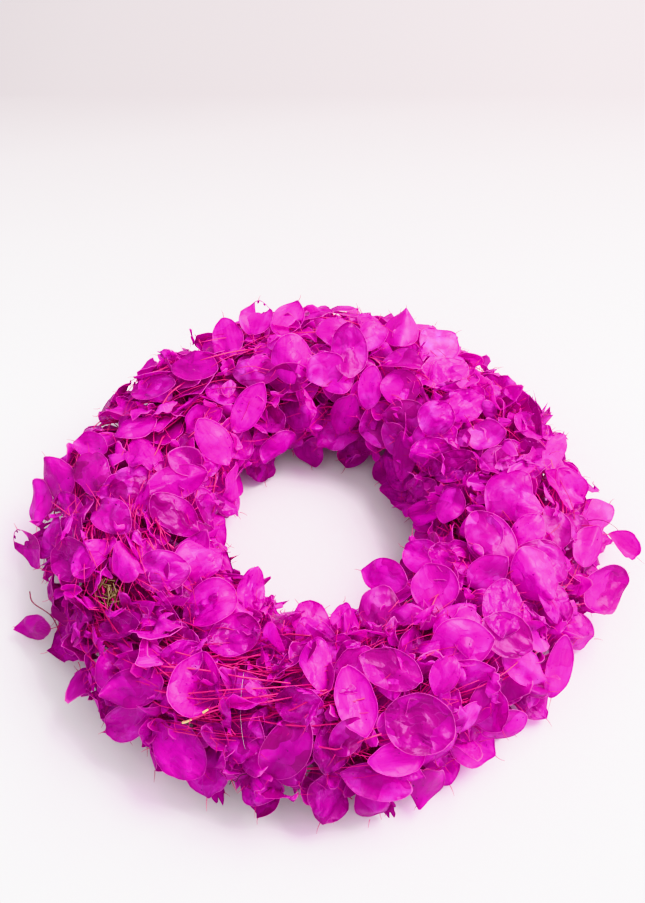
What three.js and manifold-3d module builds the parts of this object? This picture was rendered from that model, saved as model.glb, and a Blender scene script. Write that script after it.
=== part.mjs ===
// A wreath of dyed lunaria (honesty), lying flat: a hay ring, the thread wound round it, and bunches
// tied on one after another, each a sheaf of stems and a head of papery pod walls, called septa.
// Millimetres and degrees, +Z up, origin under the middle of its box on the surface it lies on.
// A clock angle runs anticlockwise from +X, seen from above. Round the ring's tube, 0 degrees points
// away from the wreath's middle, 90 up and 180 to its middle.
import * as THREE from "three";
import { mergeVertices } from "three/addons/utils/BufferGeometryUtils.js";
import Module from "manifold-3d";

const wasm = await Module();
wasm.setup();

// Driving dimensions
const RING_RADIUS = 109; // of the tube's centre line
const AXIS_HEIGHT = 24; // of the foliage at its widest
const HAY = { radius: 17, groove: 13.4, sides: 8, stationsPerTurn: 3 };
const THREAD = { radius: 0.5, low: 15, high: 24.6, stepsPerTurn: 10, ends: 0.06 };
const STEM = { radius: 1.3, steps: 3, count: 3, low: 19.2, high: 23, halfSpan: 9 };
const STRAY = { radius: 1, steps: 5, low: 20.8, halfWaist: 13, clear: 2 };
const CORE = { middle: 0.72, end: 0.6, sides: 10, lowest: -18, steps: 3, tunnel: 26, archSides: 5 };
const SEPTUM = { length: [26, 38], roundness: [0.7, 0.86], thickness: 0.8, sunk: 1.2, sides: 8 };
const CLEAR = 1.3; // between the middle faces of two bunches' septa
const SEED = 20840;
const TRIES = 12;

// How far each bunch reaches outwards and inwards from the tube's centre line, how high it stands,
// half the gap between its core and the one behind it, and the places of the stems that stray there.
const BUNCHES = [
  { out: 58, in: 50, top: 68, halfGap: 1.6, strays: [] },
  { out: 52, in: 49, top: 70, halfGap: 1.6, strays: [] },
  { out: 49, in: 47, top: 68, halfGap: 1.6, strays: [] },
  { out: 51, in: 46, top: 72, halfGap: 1.6, strays: [] },
  { out: 52, in: 46, top: 72, halfGap: 1.6, strays: [] },
  { out: 50, in: 48, top: 68, halfGap: 1.6, strays: [] },
  { out: 54, in: 49, top: 66, halfGap: 1.6, strays: [] },
  { out: 58, in: 48, top: 66, halfGap: 1.6, strays: [] },
  { out: 54, in: 50, top: 68, halfGap: 6.5, strays: [48, 58, 68, 78, 88, 98] },
  { out: 55, in: 52, top: 66, halfGap: 1.6, strays: [] },
  { out: 51, in: 51, top: 66, halfGap: 6.5, strays: [50, 57, 64, 71, 78, 85] },
  { out: 51, in: 50, top: 70, halfGap: 1.6, strays: [] },
  { out: 49, in: 52, top: 72, halfGap: 1.6, strays: [] },
  { out: 54, in: 52, top: 70, halfGap: 1.6, strays: [] },
];
const PITCH = 360 / BUNCHES.length;
const FIRST_CLOCK = -4.9;

// Rows of septa across a bunch: the place round the tube, how many, the mean heading and its spread
// (0 runs forward along the ring, 90 outwards and down), and the least and most tilt off the surface.
const ROWS = [
  { around: -8, count: 2, heading: 75, spread: 60, tilt: [38, 72] },
  { around: 14, count: 2, heading: 70, spread: 70, tilt: [18, 45] },
  { around: 40, count: 2, heading: 60, spread: 100, tilt: [12, 34] },
  { around: 66, count: 2, heading: 60, spread: 130, tilt: [12, 30] },
  { around: 92, count: 2, heading: 0, spread: 180, tilt: [12, 30] },
  { around: 120, count: 2, heading: -60, spread: 120, tilt: [12, 32] },
  { around: 152, count: 1, heading: -80, spread: 70, tilt: [12, 34] },
  { around: 184, count: 1, heading: -85, spread: 40, tilt: [20, 45] },
];

// The septa that stand out in the photograph: clock angle, place round the tube and share of the
// bunch's size of the septum's middle, the way its tip points in the view (0 right, 90 up), and its
// length and width.
const MARKED = [
  [169, 118, 1, 5, 40, 21],
  [183, 122, 0.98, 310, 36, 22],
  [206, 102, 0.95, 170, 34, 24],
  [205, 130, 1, 10, 34, 25],
  [185, 14, 1.15, 95, 30, 16],
  [175, 18, 1.12, 250, 30, 17],
  [171, 34, 1.05, 100, 34, 22],
  [162, 48, 1, 150, 26, 16],
  [199, -12, 1.33, 150, 31, 15],
  [227, 45, 1, 170, 36, 22],
  [241, 20, 1, 300, 38, 28],
  [229, 18, 1, 180, 34, 20],
  [116, 62, 1.02, 97, 30, 20],
  [107, 58, 1.05, 75, 26, 22],
  [99, 66, 1.05, 60, 30, 20],
  [100, 102, 1, 265, 32, 26],
  [88, 112, 1, 210, 26, 22],
  [80, 96, 1.02, 92, 36, 23],
  [74, 78, 1.03, 75, 24, 18],
  [67, 66, 1.06, 85, 27, 22],
  [57, 55, 1.06, 40, 30, 26],
  [113, 102, 1, 175, 32, 18],
  [122, 125, 1, 235, 36, 18],
  [144, 128, 1, 295, 34, 20],
  [69, 120, 1, 265, 28, 15],
  [58, 108, 1, 190, 26, 22],
  [39, 112, 1.05, 60, 24, 22],
  [41, 152, 1, 275, 31, 15],
  [37, 90, 1, 30, 27, 22],
  [24, 92, 1, 200, 26, 18],
  [15, 48, 1.05, 70, 28, 15],
  [6, 48, 1.05, 330, 26, 15],
  [1, 28, 1.12, 60, 26, 18],
  [355, 18, 1.28, 340, 22, 17],
  [352, 38, 1.05, 270, 28, 17],
  [346, 100, 1, 320, 39, 26],
  [2, 90, 1.02, 60, 34, 28],
  [2, 130, 1, 80, 24, 17],
  [5, 156, 1, 200, 24, 15],
  [351, 78, 1, 250, 24, 18],
  [335, 145, 1, 160, 31, 21],
  [320, 118, 1.04, 300, 30, 27],
  [334, 95, 1, 230, 27, 19],
  [339, 68, 1.02, 320, 34, 27],
  [346, 14, 1.12, 60, 36, 27],
  [321, 66, 1.04, 350, 32, 25],
  [311, 80, 1.02, 200, 36, 26],
  [326, 18, 1.03, 285, 38, 19],
  [292, 50, 1.05, 170, 40, 33],
  [310, 10, 1.05, 225, 28, 19],
  [291, -4, 1.15, 262, 30, 18],
  [302, 70, 1, 80, 24, 16],
  [298, 138, 1, 250, 28, 24],
  [290, 88, 1.02, 345, 37, 23],
  [279, 75, 1, 290, 40, 22],
  [263, 48, 1.03, 235, 40, 25],
  [281, 18, 1.02, 180, 40, 18],
  [280, -8, 1.12, 270, 24, 20],
  [286, 34, 1, 15, 34, 18],
  [276, 55, 1, 240, 24, 17],
  [226, 115, 1, 195, 34, 26],
  [240, 108, 0.98, 190, 31, 25],
  [231, 150, 1.05, 80, 28, 17],
  [266, 150, 1, 130, 26, 23],
  [281, 152, 1.05, 85, 26, 12],
  [312, 150, 1.2, 170, 34, 20],
];
const MARKED_FACING = 0.5; // from square to the foliage, 0, to square to the viewer, 1
const VIEWER = { x: 0, y: -347, z: 705 };
const STALK = { radius: 0.8, sunk: 4, into: 0.2, inset: 3 };

const COLOURS = { septa: 0xc814b0, stems: 0xd0245c, hay: 0x8a7a4a, thread: 0xe8e4e8 };

const rad = THREE.MathUtils.degToRad;
const deg = THREE.MathUtils.radToDeg;
const vec = (x, y, z) => new THREE.Vector3(x, y, z);
const UP = vec(0, 0, 1);

// The same draws every time, from a 32-bit linear congruential generator.
let state = SEED;
function draw(low, high) {
  state = (Math.imul(state, 1664525) + 1013904223) >>> 0;
  return low + (high - low) * (state / 4294967296);
}

// A point off the tube's centre line: clock angle, distance outwards and height.
function ringPoint(clock, across, height) {
  const reach = RING_RADIUS + across;
  return vec(reach * Math.cos(rad(clock)), reach * Math.sin(rad(clock)), height);
}

// A point round the hay's own centre line, at a distance from it.
function hayPoint(clock, around, distance) {
  const across = distance * Math.cos(rad(around));
  return ringPoint(clock, across, HAY_HEIGHT + distance * Math.sin(rad(around)));
}
const HAY_HEIGHT = HAY.radius * Math.cos(Math.PI / HAY.sides); // puts the flat underside at 0

// A point of a bunch at a share of its full size. along is in degrees forward from its middle, and
// x and y are the cosine and sine of the place round the tube.
function bunchPoint(bunch, along, x, y, share) {
  const across = share * x * (x > 0 ? bunch.out : bunch.in);
  const rise = share * y * (y > 0 ? bunch.top - AXIS_HEIGHT : AXIS_HEIGHT);
  return ringPoint(along, across, AXIS_HEIGHT + rise);
}

// A bunch's core is full in the middle and smaller at both ends.
function coreShare(along) {
  const x = Math.min(1, Math.abs(along) / (PITCH / 2));
  return CORE.middle - (CORE.middle - CORE.end) * x * x;
}

// How far out the core's flat facets lie, as a share of the way to the corners between them.
function facetShare(around) {
  const facet = 360 / CORE.sides;
  const turn = (around - 90) / facet;
  return Math.cos(rad(facet / 2)) / Math.cos(rad((turn - Math.floor(turn) - 0.5) * facet));
}

// The directions of a septum that grows at a place on a bunch.
function septumFrame(along, around, heading, tilt, roll) {
  const outward = vec(Math.cos(rad(along)), Math.sin(rad(along)), 0);
  const forward = vec(-outward.y, outward.x, 0);
  const [c, s] = [Math.cos(rad(around)), Math.sin(rad(around))];
  const normal = outward.clone().multiplyScalar(c).addScaledVector(UP, s);
  const down = outward.clone().multiplyScalar(s).addScaledVector(UP, -c);
  const axis = forward.clone().multiplyScalar(Math.cos(rad(heading)));
  axis.addScaledVector(down, Math.sin(rad(heading))).multiplyScalar(Math.cos(rad(tilt)));
  axis.addScaledVector(normal, Math.sin(rad(tilt)));
  const level = axis.clone().cross(normal).normalize();
  const side = level.clone().multiplyScalar(Math.cos(rad(roll)));
  side.addScaledVector(level.clone().cross(axis), Math.sin(rad(roll)));
  return { normal, axis, side, face: side.clone().cross(axis) };
}

// A point of a septum. x and y are a place on a disc of radius 1, whose foot is at y = -1, and z is
// off the middle face. The disc becomes an oval with a pointed tip, cupped and bent.
function septumPoint(septum, x, y, z) {
  const share = (1 + y) / 2 + 0.04 * (1 - y * y);
  const half = x * (1 - 0.08 * y);
  const off = z + septum.cup * (1 - x * x - y * y) + septum.bend * share * share;
  return septum.root
    .clone()
    .addScaledVector(septum.axis, septum.length * share)
    .addScaledVector(septum.side, (septum.width / 2) * half)
    .addScaledVector(septum.face, off);
}

// A marked septum, in the frame of the bunch nearest to its foot, or of one so many steps further on.
// Its stalk runs to it from inside the core.
function markedSeptum([clock, around, share, tip, length, width], step) {
  const middleBunch = BUNCHES[bunchAt(clock)];
  const [c, s] = [Math.cos(rad(around)), Math.sin(rad(around))];
  const middle = bunchPoint(middleBunch, clock, c, s, share);
  const toViewer = vec(VIEWER.x, VIEWER.y, VIEWER.z).sub(middle).normalize();
  const normal = vec(c * Math.cos(rad(clock)), c * Math.sin(rad(clock)), s);
  const facing = normal.multiplyScalar(1 - MARKED_FACING).addScaledVector(toViewer, MARKED_FACING);
  facing.normalize();
  const right = UP.clone().cross(toViewer).normalize();
  const seen = right.clone().multiplyScalar(Math.cos(rad(tip)));
  seen.addScaledVector(toViewer.clone().cross(right), Math.sin(rad(tip)));
  const axis = seen.addScaledVector(toViewer, -seen.dot(facing) / toViewer.dot(facing)).normalize();
  const side = axis.clone().cross(facing).normalize();
  const root = middle.addScaledVector(axis, -length / 2);
  const n = bunchAt(deg(Math.atan2(root.y, root.x)) + step * PITCH);
  const bunchClock = FIRST_CLOCK + n * PITCH;
  for (const v of [root, axis, side]) v.applyAxisAngle(UP, -rad(bunchClock));
  const face = side.clone().cross(axis);
  const septum = { root, axis, side, face, length, width, cup: (length % 5) - 2, bend: (width % 6) - 4 };
  septum.stalk = stalkFrom(BUNCHES[n], septum);
  return { n, septum, at: placed(septum, bunchClock) };
}

// The two ends of a septum's stalk.
function stalkFrom(bunch, septum) {
  const { root } = septum;
  const most = PITCH / 2 - deg((bunch.halfGap + STALK.inset) / RING_RADIUS);
  const along = THREE.MathUtils.clamp(deg(Math.atan2(root.y, root.x)), -most, most);
  const across = Math.hypot(root.x, root.y) - RING_RADIUS;
  const rise = root.z - AXIS_HEIGHT;
  const x = across / (across > 0 ? bunch.out : bunch.in);
  const y = rise / (rise > 0 ? bunch.top - AXIS_HEIGHT : AXIS_HEIGHT);
  const around = Math.max(CORE.lowest + 10, Math.min(170 - CORE.lowest, deg(Math.atan2(y, x))));
  const share = coreShare(along) * facetShare(around) - STALK.sunk / (bunch.top - AXIS_HEIGHT);
  const start = bunchPoint(bunch, along, Math.cos(rad(around)), Math.sin(rad(around)), share);
  return [start, septumPoint(septum, 0, 2 * STALK.into - 1, 0)];
}

// The bunch whose middle is nearest to a clock angle.
function bunchAt(clock) {
  const n = Math.round((clock - FIRST_CLOCK) / PITCH);
  return (n + 2 * BUNCHES.length) % BUNCHES.length;
}

// The corners of the disc that a septum is made from, as angles from its foot.
const CORNERS = Array.from({ length: SEPTUM.sides }, (_, i) => (i * 2 * Math.PI) / SEPTUM.sides);

// What the tests need of a septum that stands in the wreath: its middle face, a little larger than
// life, the same face moved off to both sides, and the posts that join those two.
function placed(septum, clock) {
  const grow = 1 + CLEAR / septum.width;
  const at = (x, y, z) => septumPoint(septum, x, y, z).applyAxisAngle(UP, rad(clock));
  const fan = (z) => [...CORNERS.map((a) => at(grow * Math.sin(a), -grow * Math.cos(a), z)), at(0, 0, z)];
  const corners = fan(0);
  const middle = corners[SEPTUM.sides];
  const reach = Math.max(...corners.map((c) => c.distanceTo(middle)));
  const rims = corners.slice(0, SEPTUM.sides);
  const lines = rims.flatMap((c, i) => [[c, rims[(i + 1) % rims.length]], [c, middle]]);
  if (septum.stalk) lines.push(septum.stalk.map((end) => end.clone().applyAxisAngle(UP, rad(clock))));
  const near = [fan(CLEAR), fan(-CLEAR)];
  const posts = near[0].map((top, i) => [top, near[1][i]]);
  const far = [fan(STRAY.clear), fan(-STRAY.clear)];
  return { corners, lines, posts, middle, reach, near, far };
}

// Whether the line from a to b passes through the triangle p, q, r.
function passes(a, b, p, q, r) {
  const ab = b.clone().sub(a);
  const pq = q.clone().sub(p);
  const pr = r.clone().sub(p);
  const h = ab.clone().cross(pr);
  const det = pq.dot(h);
  if (Math.abs(det) < 1e-9) return false;
  const ap = a.clone().sub(p);
  const u = ap.dot(h) / det;
  const k = ap.clone().cross(pq);
  const v = ab.dot(k) / det;
  const t = pr.dot(k) / det;
  return u >= 0 && v >= 0 && u + v <= 1 && t >= 0 && t <= 1;
}

// Whether any of the lines passes through a fan of triangles.
function pierces(lines, fans) {
  const n = SEPTUM.sides;
  for (const fan of fans)
    for (let i = 0; i < n; i++)
      for (const [a, b] of lines) if (passes(a, b, fan[i], fan[(i + 1) % n], fan[n])) return true;
  return false;
}

// Whether two placed septa cross or all but touch.
function touch(one, other) {
  if (one.middle.distanceTo(other.middle) > one.reach + other.reach) return false;
  const through = (a, b) => pierces(a.lines, b.near) || pierces(a.posts, [b.corners]);
  return through(one, other) || through(other, one);
}

// Whether a point of the wreath lies in the core of bunch n, or close to it.
function inCore(point, n) {
  const reach = Math.hypot(point.x, point.y);
  const clock = deg(Math.atan2(point.y, point.x)) - FIRST_CLOCK - n * PITCH;
  const along = clock - 360 * Math.round(clock / 360);
  if (Math.abs(along) > PITCH / 2 + deg(1 / reach)) return false;
  const bunch = BUNCHES[n];
  const share = coreShare(along) + 0.03;
  const x = (reach - RING_RADIUS) / (share * (reach > RING_RADIUS ? bunch.out : bunch.in));
  const up = point.z > AXIS_HEIGHT;
  const y = (point.z - AXIS_HEIGHT) / (share * (up ? bunch.top - AXIS_HEIGHT : AXIS_HEIGHT));
  return x * x + y * y < 1;
}

// A septum of a row, drawn for the t-th time: each further try is smaller, steeper and nearer to the
// middle of the bunch.
function drawSeptum(bunch, row, i, t) {
  const ease = t / TRIES;
  const spot = (i + 0.5) / row.count - 0.5;
  const along = (spot * 0.94 + draw(-0.1, 0.1)) * PITCH * (1 - 0.6 * ease);
  const around = row.around + draw(-9, 9);
  const heading = row.heading + row.spread * draw(-1, 1) * (1 - 0.4 * ease);
  const tilt = draw(...row.tilt) + 20 * ease;
  const frame = septumFrame(along, around, heading, tilt, draw(-24, 24));
  const length = draw(...SEPTUM.length) * (1 - 0.2 * ease);
  const width = length * draw(...SEPTUM.roundness);
  const share = coreShare(along) * facetShare(around);
  const root = bunchPoint(bunch, along, Math.cos(rad(around)), Math.sin(rad(around)), share);
  root.addScaledVector(frame.normal, -SEPTUM.sunk);
  return { ...frame, root, length, width, cup: draw(-2, 3), bend: draw(-4, 3) };
}

// Every septum of every bunch. One that would touch the surface, another septum, the next core or a
// stray stem is drawn again, and left out when no place is found.
function layOut(strayLines) {
  const done = BUNCHES.map(() => []);
  for (const row of MARKED) {
    const choices = [0, 1, -1].map((step) => markedSeptum(row, step));
    const others = (n) => done.filter((_, k) => k !== n).flat();
    const chosen = choices.find(({ n, at }) => !others(n).some((other) => touch(at, other)));
    if (chosen) done[chosen.n].push({ ...chosen.at, septum: chosen.septum });
  }
  BUNCHES.forEach((bunch, n) => {
    state = SEED + 7919 * n;
    const clock = FIRST_CLOCK + n * PITCH;
    const nextTo = [BUNCHES.length - 1, 1].map((step) => (n + step) % BUNCHES.length);
    const stems = [n, (n + 1) % BUNCHES.length].flatMap((k) => strayLines[k]);
    for (const row of ROWS)
      for (let i = 0; i < row.count; i++)
        for (let t = 0; t < TRIES; t++) {
          const septum = drawSeptum(bunch, row, i, t);
          const at = placed(septum, clock);
          if (at.corners.some((c) => c.z < SEPTUM.thickness)) continue;
          if (at.corners.some((c) => nextTo.some((k) => inCore(c, k)))) continue;
          if (pierces(stems, at.far)) continue;
          if ([n, ...nextTo].some((k) => done[k].some((other) => touch(at, other)))) continue;
          done[n].push({ ...at, septum });
          break;
        }
  });
  return done.map((list) => list.map((item) => item.septum));
}

// The solid of a closed geometry.
function solidOf(geometry) {
  const bare = geometry.clone();
  bare.deleteAttribute("normal");
  bare.deleteAttribute("uv");
  const merged = mergeVertices(bare, 1e-4);
  const vertProperties = merged.attributes.position.array;
  const triVerts = new Uint32Array(merged.index.array);
  return new wasm.Manifold(new wasm.Mesh({ numProp: 3, vertProperties, triVerts }));
}

// The geometry of a solid's biggest body.
function geometryOf(solid) {
  const [body] = solid.decompose().sort((a, b) => b.volume() - a.volume());
  const mesh = body.getMesh();
  const geometry = new THREE.BufferGeometry();
  geometry.setAttribute("position", new THREE.BufferAttribute(mesh.vertProperties, 3));
  geometry.setIndex(new THREE.BufferAttribute(mesh.triVerts, 1));
  geometry.computeVertexNormals();
  return geometry;
}

// Moves every vertex of a geometry to where place puts it.
function reshape(geometry, place) {
  const position = geometry.attributes.position;
  for (let i = 0; i < position.count; i++) {
    const p = place(position.getX(i), position.getY(i), position.getZ(i));
    position.setXYZ(i, p.x, p.y, p.z);
  }
  return geometry;
}

// A three-sided tube along a smooth curve through points.
function tube(points, radius, steps) {
  const corners = [90, 210, 330].map((a) => new THREE.Vector2(Math.cos(rad(a)), Math.sin(rad(a))));
  for (const corner of corners) corner.multiplyScalar(radius);
  const extrudePath = new THREE.CatmullRomCurve3(points);
  return new THREE.ExtrudeGeometry(new THREE.Shape(corners), { steps, extrudePath });
}

// A septum's blade is an eight-sided disc, bent.
function blade(septum) {
  const disc = new THREE.CylinderGeometry(1, 1, SEPTUM.thickness, SEPTUM.sides);
  return reshape(disc.rotateX(Math.PI / 2), (x, y, z) => septumPoint(septum, x, y, z));
}

// The dense inside of a bunch: an arch over the hay and the sheaves, smaller at both ends. Its outline
// has corners at a distance of 1, which go to the core's outside, and of 0.5, which go to the arch.
function core(bunch, behind, ahead) {
  const facet = 360 / CORE.sides;
  const outer = [];
  for (let around = CORE.lowest; around <= 180 - CORE.lowest; around += facet) outer.push([1, around]);
  const arch = CORE.archSides;
  const inner = Array.from({ length: arch + 1 }, (_, i) => [0.5, 180 - (i * 180) / arch]);
  const corner = ([distance, around]) =>
    new THREE.Vector2(distance * Math.cos(rad(around)), distance * Math.sin(rad(around)));
  const shape = new THREE.Shape([...outer, ...inner].map(corner));
  const form = new THREE.ExtrudeGeometry(shape, { depth: 1, steps: CORE.steps, bevelEnabled: false });
  const low = -PITCH / 2 + deg(behind / RING_RADIUS);
  const high = PITCH / 2 - deg(ahead / RING_RADIUS);
  reshape(form, (x, y, z) => {
    const along = high - (high - low) * z;
    if (Math.hypot(x, y) > 0.75) return bunchPoint(bunch, along, x, y, coreShare(along));
    return hayPoint(along, deg(Math.atan2(y, x)), CORE.tunnel);
  });
  return solidOf(form);
}

// The head of a bunch: its core and the septa that stand out of it.
function septaGeometry(n, septa) {
  const ahead = BUNCHES[(n + 1) % BUNCHES.length].halfGap;
  const blades = septa.map((septum) => solidOf(blade(septum)));
  const stalked = septa.filter((septum) => septum.stalk);
  const stalks = stalked.map((septum) => solidOf(tube(septum.stalk, STALK.radius, 1)));
  const inside = core(BUNCHES[n], BUNCHES[n].halfGap, ahead);
  return geometryOf(wasm.Manifold.union([inside, ...blades, ...stalks]));
}

// The stems of a sheaf, side by side under the thread and spread at both ends, where they rise to the
// cores. The sheaf of a bunch is tied at its back end.
function sheafCurves() {
  return Array.from({ length: STEM.count }, (_, i) => {
    const k = i - (STEM.count - 1) / 2;
    return [-1, -0.5, 0, 0.5, 1].map((x) => {
      const spread = x * x;
      const distance = STEM.low + (STEM.high - STEM.low) * spread * spread;
      return hayPoint(-PITCH / 2 + x * STEM.halfSpan, 90 + k * (4 + 9 * spread), distance);
    });
  });
}

// Stems that stray: they leave the sheaf past the thread, rise through the gap between two cores and
// lie over one of them, ahead or behind.
function strayCurves(n) {
  const [one, other] = [BUNCHES[n], BUNCHES[(n + BUNCHES.length - 1) % BUNCHES.length]];
  const most = (key) => Math.max(one[key], other[key]);
  const both = { out: most("out"), in: most("in"), top: most("top") };
  const back = -PITCH / 2;
  return one.strays.map((around, i) => {
    const side = i % 2 ? 1 : -1;
    const fan = (2 * i) / (one.strays.length - 1) - 1;
    const over = (along, share) =>
      bunchPoint(both, back + side * along, Math.cos(rad(around)), Math.sin(rad(around)), share);
    return [
      hayPoint(back - side * 4, 90 + STRAY.halfWaist * fan, STRAY.low),
      hayPoint(back + side * 1.2, 90 + STRAY.halfWaist * fan, STRAY.low),
      hayPoint(back + side * 2, 90 + 1.5 * STRAY.halfWaist * fan, CORE.tunnel),
      over(2, 0.68),
      over(3.5, 0.84),
      over(9 + 2 * (i % 3), 0.95),
    ];
  });
}

function stemsGeometry(n) {
  const sheaf = sheafCurves().map((points) => tube(points, STEM.radius, STEM.steps));
  const strays = strayCurves(n).map((points) => tube(points, STRAY.radius, STRAY.steps));
  return geometryOf(wasm.Manifold.union([...sheaf, ...strays].map(solidOf)));
}

// The stray stems of a bunch as lines in the wreath's frame.
function strayLinesOf(n) {
  const clock = FIRST_CLOCK + n * PITCH;
  return strayCurves(n).flatMap((points) => {
    const spots = new THREE.CatmullRomCurve3(points).getPoints(STRAY.steps);
    for (const spot of spots) spot.applyAxisAngle(UP, rad(clock));
    return spots.slice(1).map((spot, i) => [spots[i], spot]);
  });
}

// The hay ring: an eight-sided tube, flat underneath, with one winding groove for the thread. Its rows
// of vertices wind with the thread, and every third row is the groove.
function hayGeometry() {
  const stations = HAY.stationsPerTurn * BUNCHES.length;
  const form = new THREE.TorusGeometry(RING_RADIUS, HAY.radius, HAY.sides, stations);
  const { position, uv } = form.attributes;
  for (let i = 0; i < position.count; i++) {
    const station = Math.round(uv.getX(i) * stations);
    const turn = uv.getY(i);
    const distance = station % HAY.stationsPerTurn ? HAY.radius : HAY.groove;
    const around = turn * 360 + 180 / HAY.sides;
    const p = hayPoint((station / stations) * 360 + (around / 360) * PITCH, around, distance);
    position.setXYZ(i, p.x, p.y, p.z);
  }
  return geometryOf(solidOf(form));
}

// The binding thread lies in the hay's groove and runs over each sheaf where it is tied.
function threadGeometry() {
  const turns = BUNCHES.length;
  const steps = turns * THREAD.stepsPerTurn;
  const points = Array.from({ length: steps + 1 }, (_, i) => {
    const turn = THREAD.ends + (i / steps) * (turns - 2 * THREAD.ends);
    const lift = Math.max(0, Math.sin(2 * Math.PI * turn));
    return hayPoint(turn * PITCH, turn * 360, THREAD.low + (THREAD.high - THREAD.low) * lift);
  });
  return geometryOf(solidOf(tube(points, THREAD.radius, steps)));
}

function named(name, geometry, color) {
  const finish = { color, roughness: 0.6, metalness: 0, flatShading: true };
  const mesh = new THREE.Mesh(geometry, new THREE.MeshStandardMaterial(finish));
  mesh.name = name;
  return mesh;
}

const wreath = new THREE.Group();
const base = new THREE.Group();
base.add(named("hay_ring", hayGeometry(), COLOURS.hay));
base.add(named("binding_thread", threadGeometry(), COLOURS.thread));
// The thread crosses the top of the hay a quarter turn after its start, where the sheaves are tied.
base.rotation.z = rad(FIRST_CLOCK - PITCH / 2 - PITCH / 4);
wreath.add(base);

const layout = layOut(BUNCHES.map((_, n) => strayLinesOf(n)));
BUNCHES.forEach((_, n) => {
  const number = String(n + 1).padStart(2, "0");
  const bunch = new THREE.Group();
  bunch.rotation.z = rad(FIRST_CLOCK + n * PITCH);
  bunch.add(named(`bunch_${number}_stems`, stemsGeometry(n), COLOURS.stems));
  bunch.add(named(`bunch_${number}_septa`, septaGeometry(n, layout[n]), COLOURS.septa));
  wreath.add(bunch);
});

// The origin goes under the middle of the box round the whole wreath, stray septa included.
const middle = new THREE.Box3().setFromObject(wreath, true).getCenter(vec(0, 0, 0));
wreath.position.set(-middle.x, -middle.y, 0);

export default wreath;
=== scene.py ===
# A wreath of dyed lunaria (honesty) lying on a pale floor: papery pod walls, called septa, on thin
# stalks, stems in sheaves, a hay ring and the thread that binds the bunches to it.
import math
import random
from dataclasses import dataclass, replace

import bpy
import numpy as np
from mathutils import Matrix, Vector
from mathutils.bvhtree import BVHTree


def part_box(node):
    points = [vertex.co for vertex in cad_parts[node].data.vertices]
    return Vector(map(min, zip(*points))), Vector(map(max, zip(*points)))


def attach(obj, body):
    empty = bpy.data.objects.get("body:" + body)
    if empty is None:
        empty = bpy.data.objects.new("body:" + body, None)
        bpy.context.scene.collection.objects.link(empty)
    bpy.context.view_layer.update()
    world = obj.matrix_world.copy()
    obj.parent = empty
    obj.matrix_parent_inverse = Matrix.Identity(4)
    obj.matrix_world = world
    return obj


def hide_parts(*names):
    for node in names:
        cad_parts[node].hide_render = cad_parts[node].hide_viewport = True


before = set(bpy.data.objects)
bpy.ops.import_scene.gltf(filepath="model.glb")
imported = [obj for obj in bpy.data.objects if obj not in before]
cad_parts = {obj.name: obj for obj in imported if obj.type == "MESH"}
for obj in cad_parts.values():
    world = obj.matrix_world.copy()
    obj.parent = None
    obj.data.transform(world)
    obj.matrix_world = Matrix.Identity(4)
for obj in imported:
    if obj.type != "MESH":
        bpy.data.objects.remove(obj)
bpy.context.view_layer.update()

# Sizes in millimetres and angles in degrees, about the middle of the ring. Meshes are made in metres.
# A clock angle runs anticlockwise from +X, seen from above. Round the ring's tube, 0 degrees points
# away from the wreath's middle, 90 up and 180 to its middle.
MM = 0.001
RING_RADIUS = 109
AXIS_HEIGHT = 24
HAY_RADIUS = 17
HAY_GROOVE = 13.4
HAY_HEIGHT = HAY_RADIUS * math.cos(math.pi / 8)
THREAD_RADIUS, THREAD_LOW, THREAD_HIGH, THREAD_ENDS = 0.4, 15, 24.6, 0.06
STEM_LOW = 19.2
STRAY_LOW, STRAY_HALF_WAIST, STRAY_CLEAR, STRAY_STEPS = 20.8, 13, 2, 5
CORE_MIDDLE, CORE_END, CORE_SIDES, CORE_LOWEST, CORE_TUNNEL = 0.72, 0.6, 10, -18, 26
SEPTUM_LENGTH, SEPTUM_ROUNDNESS, SEPTUM_THICKNESS, SEPTUM_SUNK = (26, 38), (0.7, 0.86), 0.8, 1.2
# The tests take a septum for a fan of so many triangles and keep it this clear of the others. Each
# one of a row is drawn at most so many times.
SIDES, CLEAR, TRIES = 8, 1.3, 12
# How much nearer to the middle, straighter, steeper and smaller the tries come to be.
INWARD, STRAIGHTER, STEEPER, SMALLER = 0.6, 0.4, 20, 0.2
# How near to a core counts as in it: past its ends in millimetres, and over its sides as a share.
CORE_END_CLEAR, CORE_SIDE_CLEAR = 1, 0.03
# The draws of a bunch start from the seed, moved on by a step for each bunch before it.
SEED, SEED_STEP = 20840, 7919


@dataclass
class Bunch:
    """How far a bunch reaches outwards and inwards from the tube's centre line, how high it stands,
    half the gap between it and the one behind it, the places of the stems that stray there, how
    many stems lie along it from the one behind and how far they slant round the tube, how crumpled
    its septa are, and how many narrow shreds and large covering septa it has."""

    out: float
    inner: float
    top: float
    half_gap: float = 1.6
    strays: tuple = ()
    along: int = 10
    slant: float = 0
    messy: float = 1.0
    shreds: int = 6
    covers: int = 9


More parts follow.
